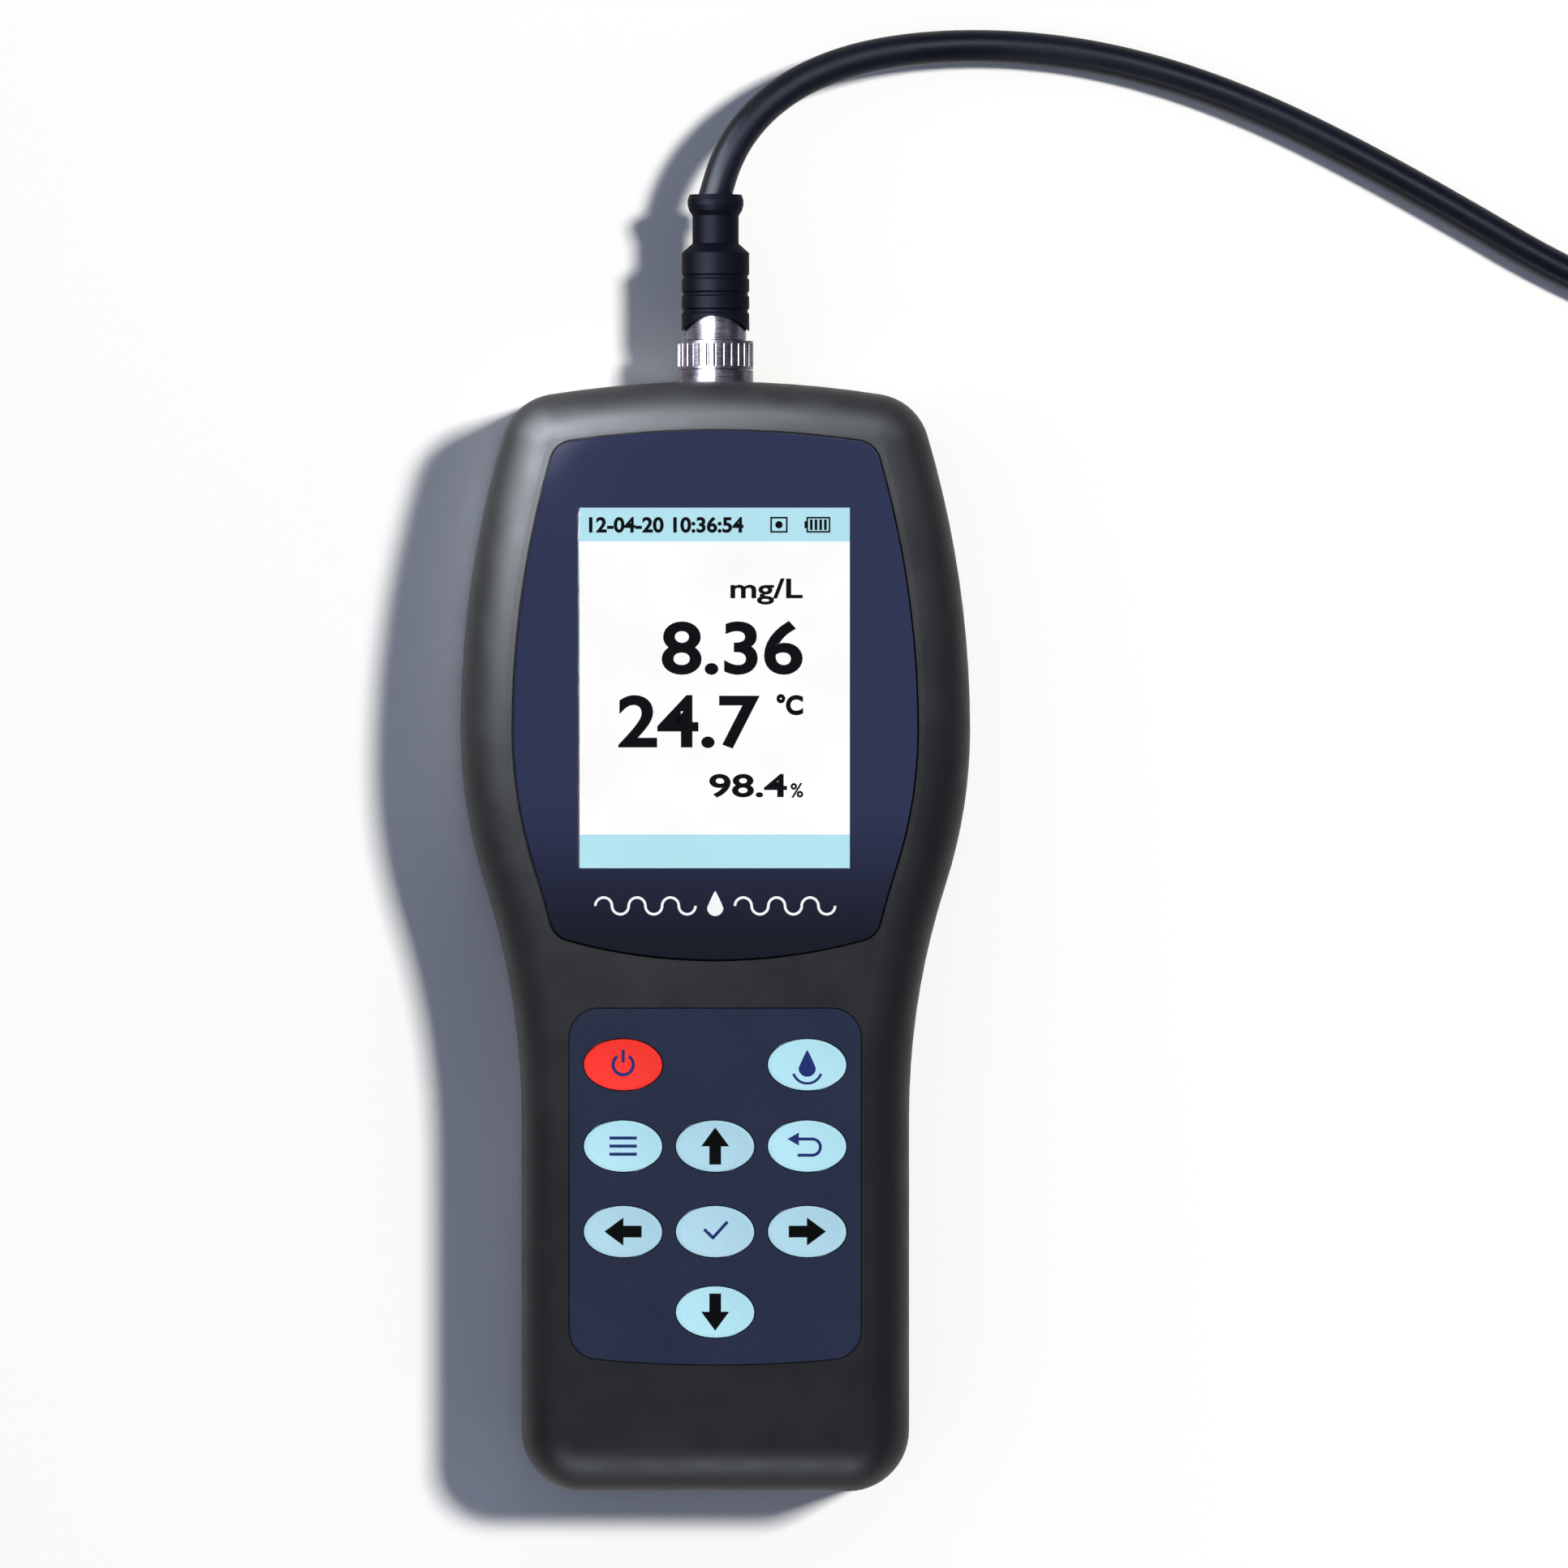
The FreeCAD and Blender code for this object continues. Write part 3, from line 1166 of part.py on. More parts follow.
def makePlug():
    rim = "(Sizes.SocketRimThickness + Sizes.NutEndGap)"
    nutEnd = f"({rim} + Sizes.NutLength)"
    neck = "Sizes.CoreDiameter / 2"
    thread = "(Sizes.SocketThreadDiameter / 2 + Sizes.ShaftGap)"
    nut, sketch = turned(
        "coupling_nut",
        [
            (rim, thread),
            (rim, "Sizes.NutDiameter / 2"),
            (nutEnd, "Sizes.NutDiameter / 2"),
            (nutEnd, f"{neck} + Sizes.ShaftGap"),
            (f"{nutEnd} - Sizes.NutLip", f"{neck} + Sizes.ShaftGap"),
            (f"{nutEnd} - Sizes.NutLip", thread),
        ],
    )
    knurl = newSketch(nut, "knurlGroove", "XZ_Plane", f"-({shellEnd} + {rim} + 0.1 * Sizes.NutLength)")
    knurlHeight = "Sizes.SeamHeight + Sizes.NutDiameter / 2 + Sizes.KnurlDiameter / 8"
    addCircle(knurl, "0", knurlHeight, "Sizes.KnurlDiameter")
    groove = pocket(nut, knurl, "0.8 * Sizes.NutLength", along=False)
    doc.recompute()
    around = nut.newObject("PartDesign::PolarPattern", "knurlRound")
    around.Originals = [groove]
    around.Axis = (sketch, ["H_Axis"])
    around.Angle = 360
    around.setExpression("Occurrences", "Sizes.KnurlCount")
    nut.Tip = around
    face = "(Sizes.SocketInsertReach + 2 * Sizes.FitGap)"
    flangeEnd = f"({nutEnd} - Sizes.NutLip - Sizes.FitGap)"
    flangeStart = f"({flangeEnd} - Sizes.CoreFlangeThickness)"
    insertRadius = "Sizes.SocketBore / 2 - Sizes.FitGap"
    core = turned(
        "plug_core",
        [
            (face, "0"),
            (face, insertRadius),
            (flangeStart, insertRadius),
            (flangeStart, "Sizes.CoreFlangeDiameter / 2"),
            (flangeEnd, "Sizes.CoreFlangeDiameter / 2"),
            (flangeEnd, neck),
            (f"{flangeEnd} + Sizes.CoreLength", neck),
            (f"{flangeEnd} + Sizes.CoreLength", "0"),
        ],
    )[0]
    holes = newSketch(core, "coreHoles", "XZ_Plane", f"-({shellEnd} + {face})")
    addRoundRow(holes, pinPlaces(), "Sizes.PinDiameter + 2 * Sizes.ShaftGap")
    pocket(core, holes, "Sizes.PinReach + Sizes.FitGap", along=False)
    collarStart = f"({nutEnd} + Sizes.NutEndGap)"
    collarEnd = f"({collarStart} + Sizes.CollarLength)"
    turned(
        "plug_collar",
        [
            (collarStart, f"{neck} + Sizes.FitGap / 2"),
            (collarStart, "Sizes.CollarDiameter / 2"),
            (collarEnd, "Sizes.CollarDiameter / 2"),
            (collarEnd, f"{neck} + Sizes.FitGap / 2"),
        ],
    )
    gripRadius = "Sizes.GripDiameter / 2"
    gripStart = f"({collarEnd} - Sizes.GripArchRise - 1.4)"
    gripEnd = f"({gripStart} + Sizes.GripLength)"
    coneEnd = f"({gripEnd} + Sizes.GripConeLength)"
    coreEnd = f"({flangeEnd} + Sizes.CoreLength)"
    corners = [
        (gripStart, "Sizes.CollarDiameter / 2 + Sizes.FitGap / 2"),
        (gripStart, gripRadius),
    ]
    for ring in range(3):
        at = f"({gripStart} + Sizes.GripRingStart + {ring} * Sizes.GripRingPitch)"
        dip = f"{gripRadius} - Sizes.GripRingDepth"
        corners += [
            (at, gripRadius),
            (f"{at} + 0.3 * Sizes.GripRingWidth", dip),
            (f"{at} + 0.7 * Sizes.GripRingWidth", dip),
            (f"{at} + Sizes.GripRingWidth", gripRadius),
        ]
    corners += [
        (gripEnd, gripRadius),
        (coneEnd, "Sizes.NeckDiameter / 2"),
        (coneEnd, "0"),
        (coreEnd, "0"),
        (coreEnd, f"{neck} + Sizes.FitGap / 2"),
        (f"{collarEnd} + Sizes.FitGap", f"{neck} + Sizes.FitGap / 2"),
        (f"{collarEnd} + Sizes.FitGap", "Sizes.CollarDiameter / 2 + Sizes.FitGap / 2"),
    ]
    grip = turned("plug_grip", corners)[0]
    arch = newSketch(grip, "gripArch")
    archY = f"{shellEnd} + {gripStart} + Sizes.GripArchRise - Sizes.GripArchRadius"
    addCircle(arch, "0", archY, "2 * Sizes.GripArchRadius")
    pocket(grip, arch, "2 * Sizes.SeamHeight")
    rimStart = f"({coneEnd} + Sizes.NeckLength)"
    rimEnd = f"({rimStart} + Sizes.BootRimLength)"
    rimRadius = "Sizes.BootRimDiameter / 2"
    neckRadius = "Sizes.NeckDiameter / 2"
    turned(
        "cable_boot",
        [
            (coneEnd, "0"),
            (coneEnd, neckRadius),
            (rimStart, neckRadius),
            (f"{rimStart} + 0.25 * Sizes.BootRimLength", f"0.3 * {neckRadius} + 0.7 * {rimRadius}"),
            (f"{rimStart} + 0.5 * Sizes.BootRimLength", rimRadius),
            (f"{rimStart} + 0.75 * Sizes.BootRimLength", rimRadius),
            (rimEnd, f"0.4 * {neckRadius} + 0.6 * {rimRadius}"),
            (rimEnd, "0"),
        ],
    )


# The cable's path. It leaves the boot, comes down to the surface that the meter lies on
# and bends over to the right.
cableRoute = [
    (0.0, 147.4, 18.0),
    (1.9, 153.9, 17.7),
    (5.3, 160.1, 16.8),
    (10.4, 165.7, 15.2),
    (17.3, 170.5, 12.9),
    (26.2, 174.2, 10.1),
    (36.7, 176.5, 7.2),
    (48.6, 177.5, 4.9),
    (62.0, 177.2, 3.6),
    (77.0, 175.2, 3.25),
    (93.5, 170.9, 3.25),
    (111.0, 164.1, 3.25),
    (129.5, 154.9, 3.25),
    (148.5, 144.3, 3.25),
    (167.0, 133.4, 3.25),
    (182.5, 125.6, 3.25),
    (197.0, 121.6, 3.25),
]


# Straight runs joined by tangent arcs, as large as the two runs at each point allow.
def roundedPath(points):
    corners = [Vector(*point) for point in points]
    edges = []
    start = corners[0]
    radii = []
    for before, corner, after in zip(corners, corners[1:], corners[2:]):
        back = (before - corner).normalize()
        ahead = (after - corner).normalize()
        turn = math.pi - back.getAngle(ahead)
        reach = 0.45 * min((before - corner).Length, (after - corner).Length)
        radius = reach / math.tan(turn / 2)
        radii.append(round(radius, 1))
        into = corner + back * reach
        out = corner + ahead * reach
        middle = (back + ahead).normalize()
        inward = corner + middle * (radius / math.cos(turn / 2) - radius)
        edges.append(Part.LineSegment(start, into).toShape())
        edges.append(Part.Arc(into, inward, out).toShape())
        start = out
    edges.append(Part.LineSegment(start, corners[-1]).toShape())
    return Part.Wire(edges), radii


def newTube(name, points, diameter):
    path, radii = roundedPath(points)
    along = path.Edges[0].tangentAt(path.Edges[0].FirstParameter)
    section = Part.Wire(Part.Circle(Vector(*points[0]), along, diameter / 2).toShape())
    tube = doc.addObject("Part::Feature", name)
    tube.Shape = path.makePipeShell([section], True, False)
    tube.Placement = Placement(Vector(0, 0, 0), Rotation())
    share = tube.Shape.Volume / (math.pi * diameter**2 / 4 * path.Length)
    print(f"{name}: length {path.Length:.1f}, radii {radii}")
    print(f"{name}: volume {share:.4f} of its section by its length")
    subParts.append(tube)
    return tube


def makeCable():
    newTube("sensor_cable", cableRoute, size("CableDiameter"))
    coil = newBody("cable_coil")
    ring = newSketch(coil, "coilSection", "XZ_Plane", "-Sizes.CoilLevel")
    inner = "Sizes.CoilMiddleRadius - Sizes.CoilWidth / 2"
    outer = "Sizes.CoilMiddleRadius + Sizes.CoilWidth / 2"
    corner = "Sizes.CableDiameter / 4"
    addProfile(
        ring,
        [
            (f"{inner} + {corner}", "0"),
            (f"{outer} - {corner}", "0"),
            (outer, corner),
            (outer, f"Sizes.CoilHeight - {corner}"),
            (f"{outer} - {corner}", "Sizes.CoilHeight"),
            (f"{inner} + {corner}", "Sizes.CoilHeight"),
            (inner, f"Sizes.CoilHeight - {corner}"),
            (inner, corner),
        ],
    )
    ring.setExpression("AttachmentOffset.Base.x", "Sizes.CoilOffset")
    turn = coil.newObject("PartDesign::Revolution", "coilTurns")
    turn.Profile = ring
    turn.ReferenceAxis = (ring, ["V_Axis"])
    turn.Angle = 360
    coilRadius = size("CoilMiddleRadius") + size("CoilWidth") / 2
    leadX = size("CoilOffset") + coilRadius - size("CableDiameter") / 2
    leadZ = size("ProbeDiameter") / 2
    ends = [(leadX, size("LeadStart"), leadZ), (leadX, size("LeadEnd"), leadZ)]
    newTube("probe_lead", ends, size("CableDiameter"))


# The probe lies on its side beside the coil, its sensing end towards -Y.
def turnedProbe(name, corners):
    body = newBody(name)
    sketch = newSketch(body, f"{name}Profile", "YZ_Plane", probeX)
    sketch.setExpression("AttachmentOffset.Base.y", "Sizes.ProbeDiameter / 2")
    addProfile(sketch, corners)
    revolution = body.newObject("PartDesign::Revolution", f"{name}Revolution")
    revolution.Profile = sketch
    revolution.ReferenceAxis = (sketch, ["H_Axis"])
    revolution.Angle = 360
    return body


probeX = "Sizes.CoilOffset + Sizes.CoilMiddleRadius + Sizes.CoilWidth / 2 - Sizes.CableDiameter / 2"


def makeProbe():
    bootEnd = "(Sizes.LeadEnd - Sizes.ProbeBootLength)"
    waistEnd = f"({bootEnd} - Sizes.ProbeWaistLength)"
    bodyEnd = f"({bootEnd} - Sizes.ProbeBodyLength)"
    capEnd = f"({bodyEnd} - Sizes.ProbeCapLength)"
    full = "Sizes.ProbeDiameter / 2"
    cap = "Sizes.ProbeCapDiameter / 2"
    turnedProbe(
        "probe_boot",
        [
            ("Sizes.LeadEnd", "0"),
            ("Sizes.LeadEnd", "Sizes.CableDiameter / 2 + 0.6"),
            (f"{bootEnd} + 0.3 * Sizes.ProbeBootLength", "0.4 * Sizes.ProbeBootDiameter"),
            (bootEnd, "Sizes.ProbeBootDiameter / 2"),
            (bootEnd, "0"),
        ],
    )
    turnedProbe(
        "probe_body",
        [
            (bootEnd, "0"),
            (bootEnd, "0.42 * Sizes.ProbeDiameter"),
            (f"{bootEnd} - 0.06 * Sizes.ProbeBodyLength", full),
            (waistEnd, full),
            (f"{waistEnd} - 0.02 * Sizes.ProbeBodyLength", "Sizes.ProbeWaistDiameter / 2"),
            (bodyEnd, "Sizes.ProbeWaistDiameter / 2"),
            (bodyEnd, "0"),
        ],
    )
    turnedProbe(
        "probe_cap",
        [
            (bodyEnd, "0"),
            (bodyEnd, cap),
            (f"{capEnd} + Sizes.ProbeCapBevel", cap),
            (capEnd, f"{cap} - Sizes.ProbeCapBevel"),
            (capEnd, "Sizes.ProbeSensorDiameter / 2"),
            (f"{capEnd} + Sizes.ProbeSensorDepth", "Sizes.ProbeSensorDiameter / 2"),
            (f"{capEnd} + Sizes.ProbeSensorDepth", "0"),
        ],
    )
    turnedProbe(
        "probe_sensor",
        [
            (f"{capEnd} + Sizes.ProbeSensorDepth", "0"),
            (f"{capEnd} + Sizes.ProbeSensorDepth", "Sizes.ProbeSensorDiameter / 2 - Sizes.FitGap"),
            (f"{capEnd} + Sizes.ProbeSensorDepth / 2", "Sizes.ProbeSensorDiameter / 2 - Sizes.FitGap"),
            (f"{capEnd} + Sizes.ProbeSensorDepth / 2", "0"),
        ],
    )


def makeHarness():
    tail = size("HousingLength") / 2 - size("SocketDepth") - size("PinTail")
    top = size("SeamHeight")
    boardEnd = size("HousingLength") / 2 - size("BoardTopGap")
    header = boardEnd - size("HeaderGap") + size("HeaderDepth")
    plugZ = size("BoardHeight") - size("BoardThickness") - size("HeaderHeight") / 2
    points = [(0, tail, top), (0, tail - 2.5, top), (0, header + 2.5, plugZ), (0, header, plugZ)]
    newTube("socket_harness", points, size("HarnessDiameter"))
    bay = -(size("HousingLength") / 2 - size("BayEndGap") - size("BayLength") - size("BayWall"))
    lowZ = size("DoorThickness") + size("CellDiameter") / 2
    back = size("BoardHeight") - size("BoardThickness")
    for name, side in (("battery_lead_plus", 1), ("battery_lead_minus", -1)):
        x = side * size("CellPitch")
        newTube(name, [(x, bay, lowZ), (x, bay + 4, lowZ), (x, bay + 4, back)], size("LeadDiameter"))


makeFrontShell()
makeRearShell()
makeGasket()
print("housing done")
makeDoor()
makeDisplay()
makeKeypad()
for name in keyPlaces:
    makeKey(name)
print("door, display and keys done")
makeBoard()
makeCaseScrews()
makeBatteries()
makeSocket()
makePlug()
print("inner pieces and connector done")
makeCable()
makeProbe()
makeHarness()
doc.recompute()

faults = [item.Name for item in doc.Objects if "Invalid" in item.State or "Error" in item.State]
for piece in subParts:
    if piece.Shape.isNull() or not piece.Shape.isValid() or not piece.Shape.Solids:
        faults.append(piece.Label)
if faults:
    raise RuntimeError(f"these objects failed: {faults}")

os.makedirs("parts", exist_ok=True)
for piece in subParts:
    piece.Shape.exportStep(f"parts/{piece.Label}.step")
    print(f"{piece.Label}: {len(piece.Shape.Solids)} solids, {piece.Shape.Volume:.1f} mm3")
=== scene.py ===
import math

import bmesh
import bpy
from mathutils import Matrix, Vector
from mathutils.bvhtree import BVHTree


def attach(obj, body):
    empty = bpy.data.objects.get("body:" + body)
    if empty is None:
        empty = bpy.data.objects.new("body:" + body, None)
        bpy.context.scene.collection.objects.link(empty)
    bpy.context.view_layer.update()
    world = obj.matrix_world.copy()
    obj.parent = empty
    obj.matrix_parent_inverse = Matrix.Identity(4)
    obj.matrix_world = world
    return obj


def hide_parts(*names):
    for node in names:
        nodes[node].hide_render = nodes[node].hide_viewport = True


mm = 0.001
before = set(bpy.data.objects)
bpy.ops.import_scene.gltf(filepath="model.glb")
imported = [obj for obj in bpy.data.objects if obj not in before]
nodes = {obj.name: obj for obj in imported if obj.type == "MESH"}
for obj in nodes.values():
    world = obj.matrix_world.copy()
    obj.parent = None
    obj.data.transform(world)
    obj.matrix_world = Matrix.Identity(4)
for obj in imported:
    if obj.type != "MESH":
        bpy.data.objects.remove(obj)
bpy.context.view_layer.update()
print("frame loaded:", len(nodes), "nodes")

# Camera, straight above the meter with the connector end up. Metres everywhere.
shot = {
    "pictureWidth": 0.3116,  # what the picture spans at the height of the seam
    "seamHeight": 0.018,
    "centre": (0.0136, 0.0302),
    "lens": 400.0,
    "sensor": 36.0,
}


def makeCamera():
    data = bpy.data.cameras.new("camera")
    data.lens = shot["lens"]
    data.sensor_width = shot["sensor"]
    data.clip_end = 20
    camera = bpy.data.objects.new("camera", data)
    distance = shot["pictureWidth"] * shot["lens"] / shot["sensor"]
    camera.location = (*shot["centre"], shot["seamHeight"] + distance)
    bpy.context.collection.objects.link(camera)
    bpy.context.scene.camera = camera


makeCamera()
print("camera")

# Sensor cable: over the floor to the right, then wound up beside the meter.
cable = {
    "diameter": 0.0065,
    "exit": (0.0, 0.1474, 0.018),
    "route": [
        (-0.0005, 0.1457, 0.0180), (0.0, 0.1474, 0.0180), (0.0019, 0.1539, 0.0177),
        (0.0053, 0.1601, 0.0168), (0.0104, 0.1657, 0.0152), (0.0173, 0.1705, 0.0129),
        (0.0262, 0.1742, 0.0101),
        (0.0367, 0.1765, 0.0072), (0.0486, 0.1775, 0.0049), (0.0620, 0.1772, 0.0036),
        (0.0770, 0.1752, 0.00325), (0.0935, 0.1709, 0.00325), (0.1110, 0.1641, 0.00325),
        (0.1295, 0.1549, 0.00325), (0.1485, 0.1443, 0.00325), (0.1670, 0.1334, 0.00325),
        (0.1845, 0.1256, 0.00325), (0.2035, 0.1213, 0.00325),
    ],
    "coilCentre": (0.2252, 0.0779),
    "coilRadii": (0.0423, 0.0358, 0.0293),  # outer, middle and inner turns
    "coilTurns": 5.25,
    "pointsPerTurn": 16,
    "layerHeights": (0.00325, 0.00975),
    "leadEnd": [(0.2676, 0.0660, 0.0098), (0.2661, 0.0575, 0.0100), (0.2634, 0.0490, 0.0100),
                (0.2619, 0.0405, 0.0100), (0.2618, 0.0330, 0.0100)],
}


def easeBetween(value, low, high):
    share = min(max((value - low) / (high - low), 0.0), 1.0)
    return share * share * (3 - 2 * share)


# Each layer steps over by one diameter before the place where it meets the next turn.
def coilRadius(turn):
    outer, middle, inner = cable["coilRadii"]
    radius = outer
    radius += (middle - outer) * easeBetween(turn, 0.70, 0.95)
    radius += (inner - middle) * easeBetween(turn, 1.70, 1.95)
    radius += (middle - inner) * easeBetween(turn, 3.33, 3.58)
    radius += (outer - middle) * easeBetween(turn, 4.33, 4.58)
    return radius


def coilPoint(turn):
    low, high = cable["layerHeights"]
    angle = math.pi / 2 - 2 * math.pi * turn
    reach = coilRadius(turn) / math.cos(math.pi / cable["pointsPerTurn"])
    x, y = cable["coilCentre"]
    height = low + (high - low) * easeBetween(turn, 2.55, 2.80)
    return (x + reach * math.cos(angle), y + reach * math.sin(angle), height)


def cablePoints():
    points = list(cable["route"])
    steps = round(cable["coilTurns"] * cable["pointsPerTurn"])
    for step in range(steps + 1):
        points.append(coilPoint(step / cable["pointsPerTurn"]))
    return points + cable["leadEnd"]


def makeCable():
    curve = bpy.data.curves.new("sensor_cord", "CURVE")
    curve.dimensions = "3D"
    curve.bevel_depth = 1.0  # times each point's radius
    curve.bevel_resolution = 7
    curve.use_fill_caps = True
    curve.resolution_u = 8
    spline = curve.splines.new("NURBS")
    points = cablePoints()
    spline.points.add(len(points) - 1)
    for place, point in zip(spline.points, points):
        place.co = (*point, 1.0)
        place.radius = cable["diameter"] / 2
    spline.order_u = 3
    spline.use_endpoint_u = True
    cord = bpy.data.objects.new("sensor_cord", curve)
    bpy.context.collection.objects.link(cord)
    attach(cord, "housing")
    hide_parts("sensor_cable", "cable_coil", "probe_lead")
    return cord


sensorCord = makeCable()
print("sensor cable")


# Small steps that every finish is put together from.
def linear(colour):
    return tuple(
        channel / 255 / 12.92 if channel <= 10.3 else ((channel / 255 + 0.055) / 1.055) ** 2.4
        for channel in colour
    )


def newFinish(name):
    finish = bpy.data.materials.new(name)
    finish.use_nodes = True
    tree = finish.node_tree
    return finish, tree, tree.nodes["Principled BSDF"]


def addNode(tree, kind, **choices):
    node = tree.nodes.new(kind)
    for key, value in choices.items():
        setattr(node, key, value)
    return node


def objectPoint(tree):
    return addNode(tree, "ShaderNodeTexCoord").outputs["Object"]


# The pattern's space is stretched by scale, in repeats per metre along each axis.
def stretched(tree, scale, turn=(0, 0, 0), shift=(0, 0, 0)):
    mapping = addNode(tree, "ShaderNodeMapping")
    mapping.inputs["Scale"].default_value = scale
    mapping.inputs["Rotation"].default_value = turn
    mapping.inputs["Location"].default_value = shift
    tree.links.new(objectPoint(tree), mapping.inputs["Vector"])
    return mapping.outputs["Vector"]


def noise(tree, scale, detail=3.0, roughness=0.55, place=None):
    pattern = addNode(tree, "ShaderNodeTexNoise")
    pattern.inputs["Scale"].default_value = scale
    pattern.inputs["Detail"].default_value = detail
    pattern.inputs["Roughness"].default_value = roughness
    tree.links.new(place or objectPoint(tree), pattern.inputs["Vector"])
    return pattern.outputs["Fac"]


def spread(tree, value, low, high, toLow=0.0, toHigh=1.0):
    ramp = addNode(tree, "ShaderNodeMapRange", interpolation_type="SMOOTHSTEP")
    ramp.inputs["From Min"].default_value = low
    ramp.inputs["From Max"].default_value = high
    ramp.inputs["To Min"].default_value = toLow
    ramp.inputs["To Max"].default_value = toHigh
    tree.links.new(value, ramp.inputs["Value"])
    return ramp.outputs["Result"]


def arithmetic(tree, operation, first, second=0.0):
    total = addNode(tree, "ShaderNodeMath", operation=operation)
    for socket, value in zip(total.inputs, (first, second)):
        if isinstance(value, (int, float)):
            socket.default_value = value
        else:
            tree.links.new(value, socket)
    return total.outputs["Value"]


def blendColours(tree, share, first, second):
    mix = addNode(tree, "ShaderNodeMix", data_type="RGBA")
    for socket, value in ((mix.inputs[6], first), (mix.inputs[7], second)):
        if isinstance(value, tuple):
            socket.default_value = (*value, 1.0)
        else:
            tree.links.new(value, socket)
    if isinstance(share, (int, float)):
        mix.inputs[0].default_value = share
    else:
        tree.links.new(share, mix.inputs[0])
    return mix.outputs[2]


def axis(tree, name):
    parts = addNode(tree, "ShaderNodeSeparateXYZ")
    tree.links.new(objectPoint(tree), parts.inputs["Vector"])
    return parts.outputs[name]


def roughen(tree, shader, height, depth, normal=None):
    bump = addNode(tree, "ShaderNodeBump")
    bump.inputs["Strength"].default_value = 1.0
    bump.inputs["Distance"].default_value = depth
    tree.links.new(height, bump.inputs["Height"])
    if normal:
        tree.links.new(normal, bump.inputs["Normal"])
    tree.links.new(bump.outputs["Normal"], shader.inputs["Normal"])
    return bump.outputs["Normal"]


# The base colour runs from shade to colour with the share.
def paint(tree, shader, share, shade, colour):
    tint = blendColours(tree, share, linear(shade), linear(colour))
    tree.links.new(tint, shader.inputs["Base Color"])


# The roughness follows a pattern between two values.
def polish(tree, shader, pattern, low, high, least, most):
    tree.links.new(spread(tree, pattern, low, high, least, most), shader.inputs["Roughness"])


# Moulded plastic or rubber: fine grain, cloudy sheen and a faint mottle in the colour.
def mouldedFinish(name, colour, shade, roughness, grain=2600.0, depth=0.000012, specular=0.5,
                  cloud=60.0, sheenSpread=0.08, coat=0.0):
    finish, tree, shader = newFinish(name)
    mottle = spread(tree, noise(tree, cloud, 4.0), 0.3, 0.7)
    speck = spread(tree, noise(tree, grain * 0.6, 2.0), 0.35, 0.75)
    share = arithmetic(tree, "MULTIPLY", arithmetic(tree, "ADD", mottle, speck), 0.5)
    paint(tree, shader, share, shade, colour)
    sheen = noise(tree, cloud * 1.7, 3.0)
    polish(tree, shader, sheen, 0.3, 0.7, roughness - sheenSpread / 2, roughness + sheenSpread / 2)
    shader.inputs["Specular IOR Level"].default_value = specular
    shader.inputs["Coat Weight"].default_value = coat
    shader.inputs["Coat Roughness"].default_value = 0.15
    roughen(tree, shader, noise(tree, grain, 2.0, 0.6), depth)
    return finish


# Metal with fine turning marks round the connector's axis.
def turnedMetal(name, colour, shade, roughness, depth=0.000006):
    finish, tree, shader = newFinish(name)
    rings = noise(tree, 1.0, 3.0, 0.7, stretched(tree, (300, 9000, 300)))
    cloud = spread(tree, noise(tree, 300.0, 3.0), 0.3, 0.7)
    paint(tree, shader, cloud, shade, colour)
    shader.inputs["Metallic"].default_value = 1.0
    polish(tree, shader, rings, 0.3, 0.7, roughness - 0.06, roughness + 0.08)
    roughen(tree, shader, rings, depth)
    return finish


def sheetMetal(name, colour, shade, roughness):
    finish, tree, shader = newFinish(name)
    grain = noise(tree, 1.0, 4.0, 0.6, stretched(tree, (6000, 400, 6000)))
    paint(tree, shader, spread(tree, grain, 0.3, 0.7), shade, colour)
    shader.inputs["Metallic"].default_value = 1.0
    polish(tree, shader, grain, 0.2, 0.8, roughness - 0.07, roughness + 0.07)
    roughen(tree, shader, grain, 0.000004)
    return finish


# Navy print behind the lens, with painted shade: its colour darkens towards the grip.
lensLook = {
    "upper": (49, 54, 83),
    "lower": (28, 30, 40),
    "fadeFrom": 0.030,
    "fadeTo": -0.004,
    "dust": (74, 80, 112),
    "roughness": 0.12,
    "smear": 0.03,
}


def lensPrint():
    finish, tree, shader = newFinish("lens_print")
    # Painted shade: the lower part of the lens is made darker in its colour, from upper to lower.
    fade = spread(tree, axis(tree, "Y"), lensLook["fadeTo"], lensLook["fadeFrom"])
    navy = blendColours(tree, fade, linear(lensLook["lower"]), linear(lensLook["upper"]))
    dust = spread(tree, noise(tree, 5200.0, 2.0), 0.62, 0.8, 0.0, 0.16)
    dusty = blendColours(tree, dust, navy, linear(lensLook["dust"]))
    tree.links.new(dusty, shader.inputs["Base Color"])
    rough, smear = lensLook["roughness"], lensLook["smear"]
    polish(tree, shader, noise(tree, 45.0, 4.0), 0.3, 0.75, rough - smear, rough + smear)
    shader.inputs["Specular IOR Level"].default_value = 0.04
    roughen(tree, shader, noise(tree, 900.0, 2.0), 0.000002)
    return finish


def clearWindow():
    finish, tree, shader = newFinish("window_clear")
    shader.inputs["Base Color"].default_value = (0.012, 0.013, 0.016, 1.0)
    smear = noise(tree, 60.0, 4.0)
    polish(tree, shader, smear, 0.3, 0.8, 0.03, 0.10)
    tree.links.new(spread(tree, smear, 0.3, 0.8, 0.02, 0.05), shader.inputs["Alpha"])
    return finish


# Lit display inks: the picture glows, and a fine grid of picture elements runs through it.
screenLook = {
    "elementPitch": 0.00018,
    "gridDepth": 0.02,
    "glow": 1.05,
    "inkGlow": 0.6,
    "paper": (255, 255, 255),
    "bar": (181, 229, 241),
    "ink": (12, 13, 16),
}


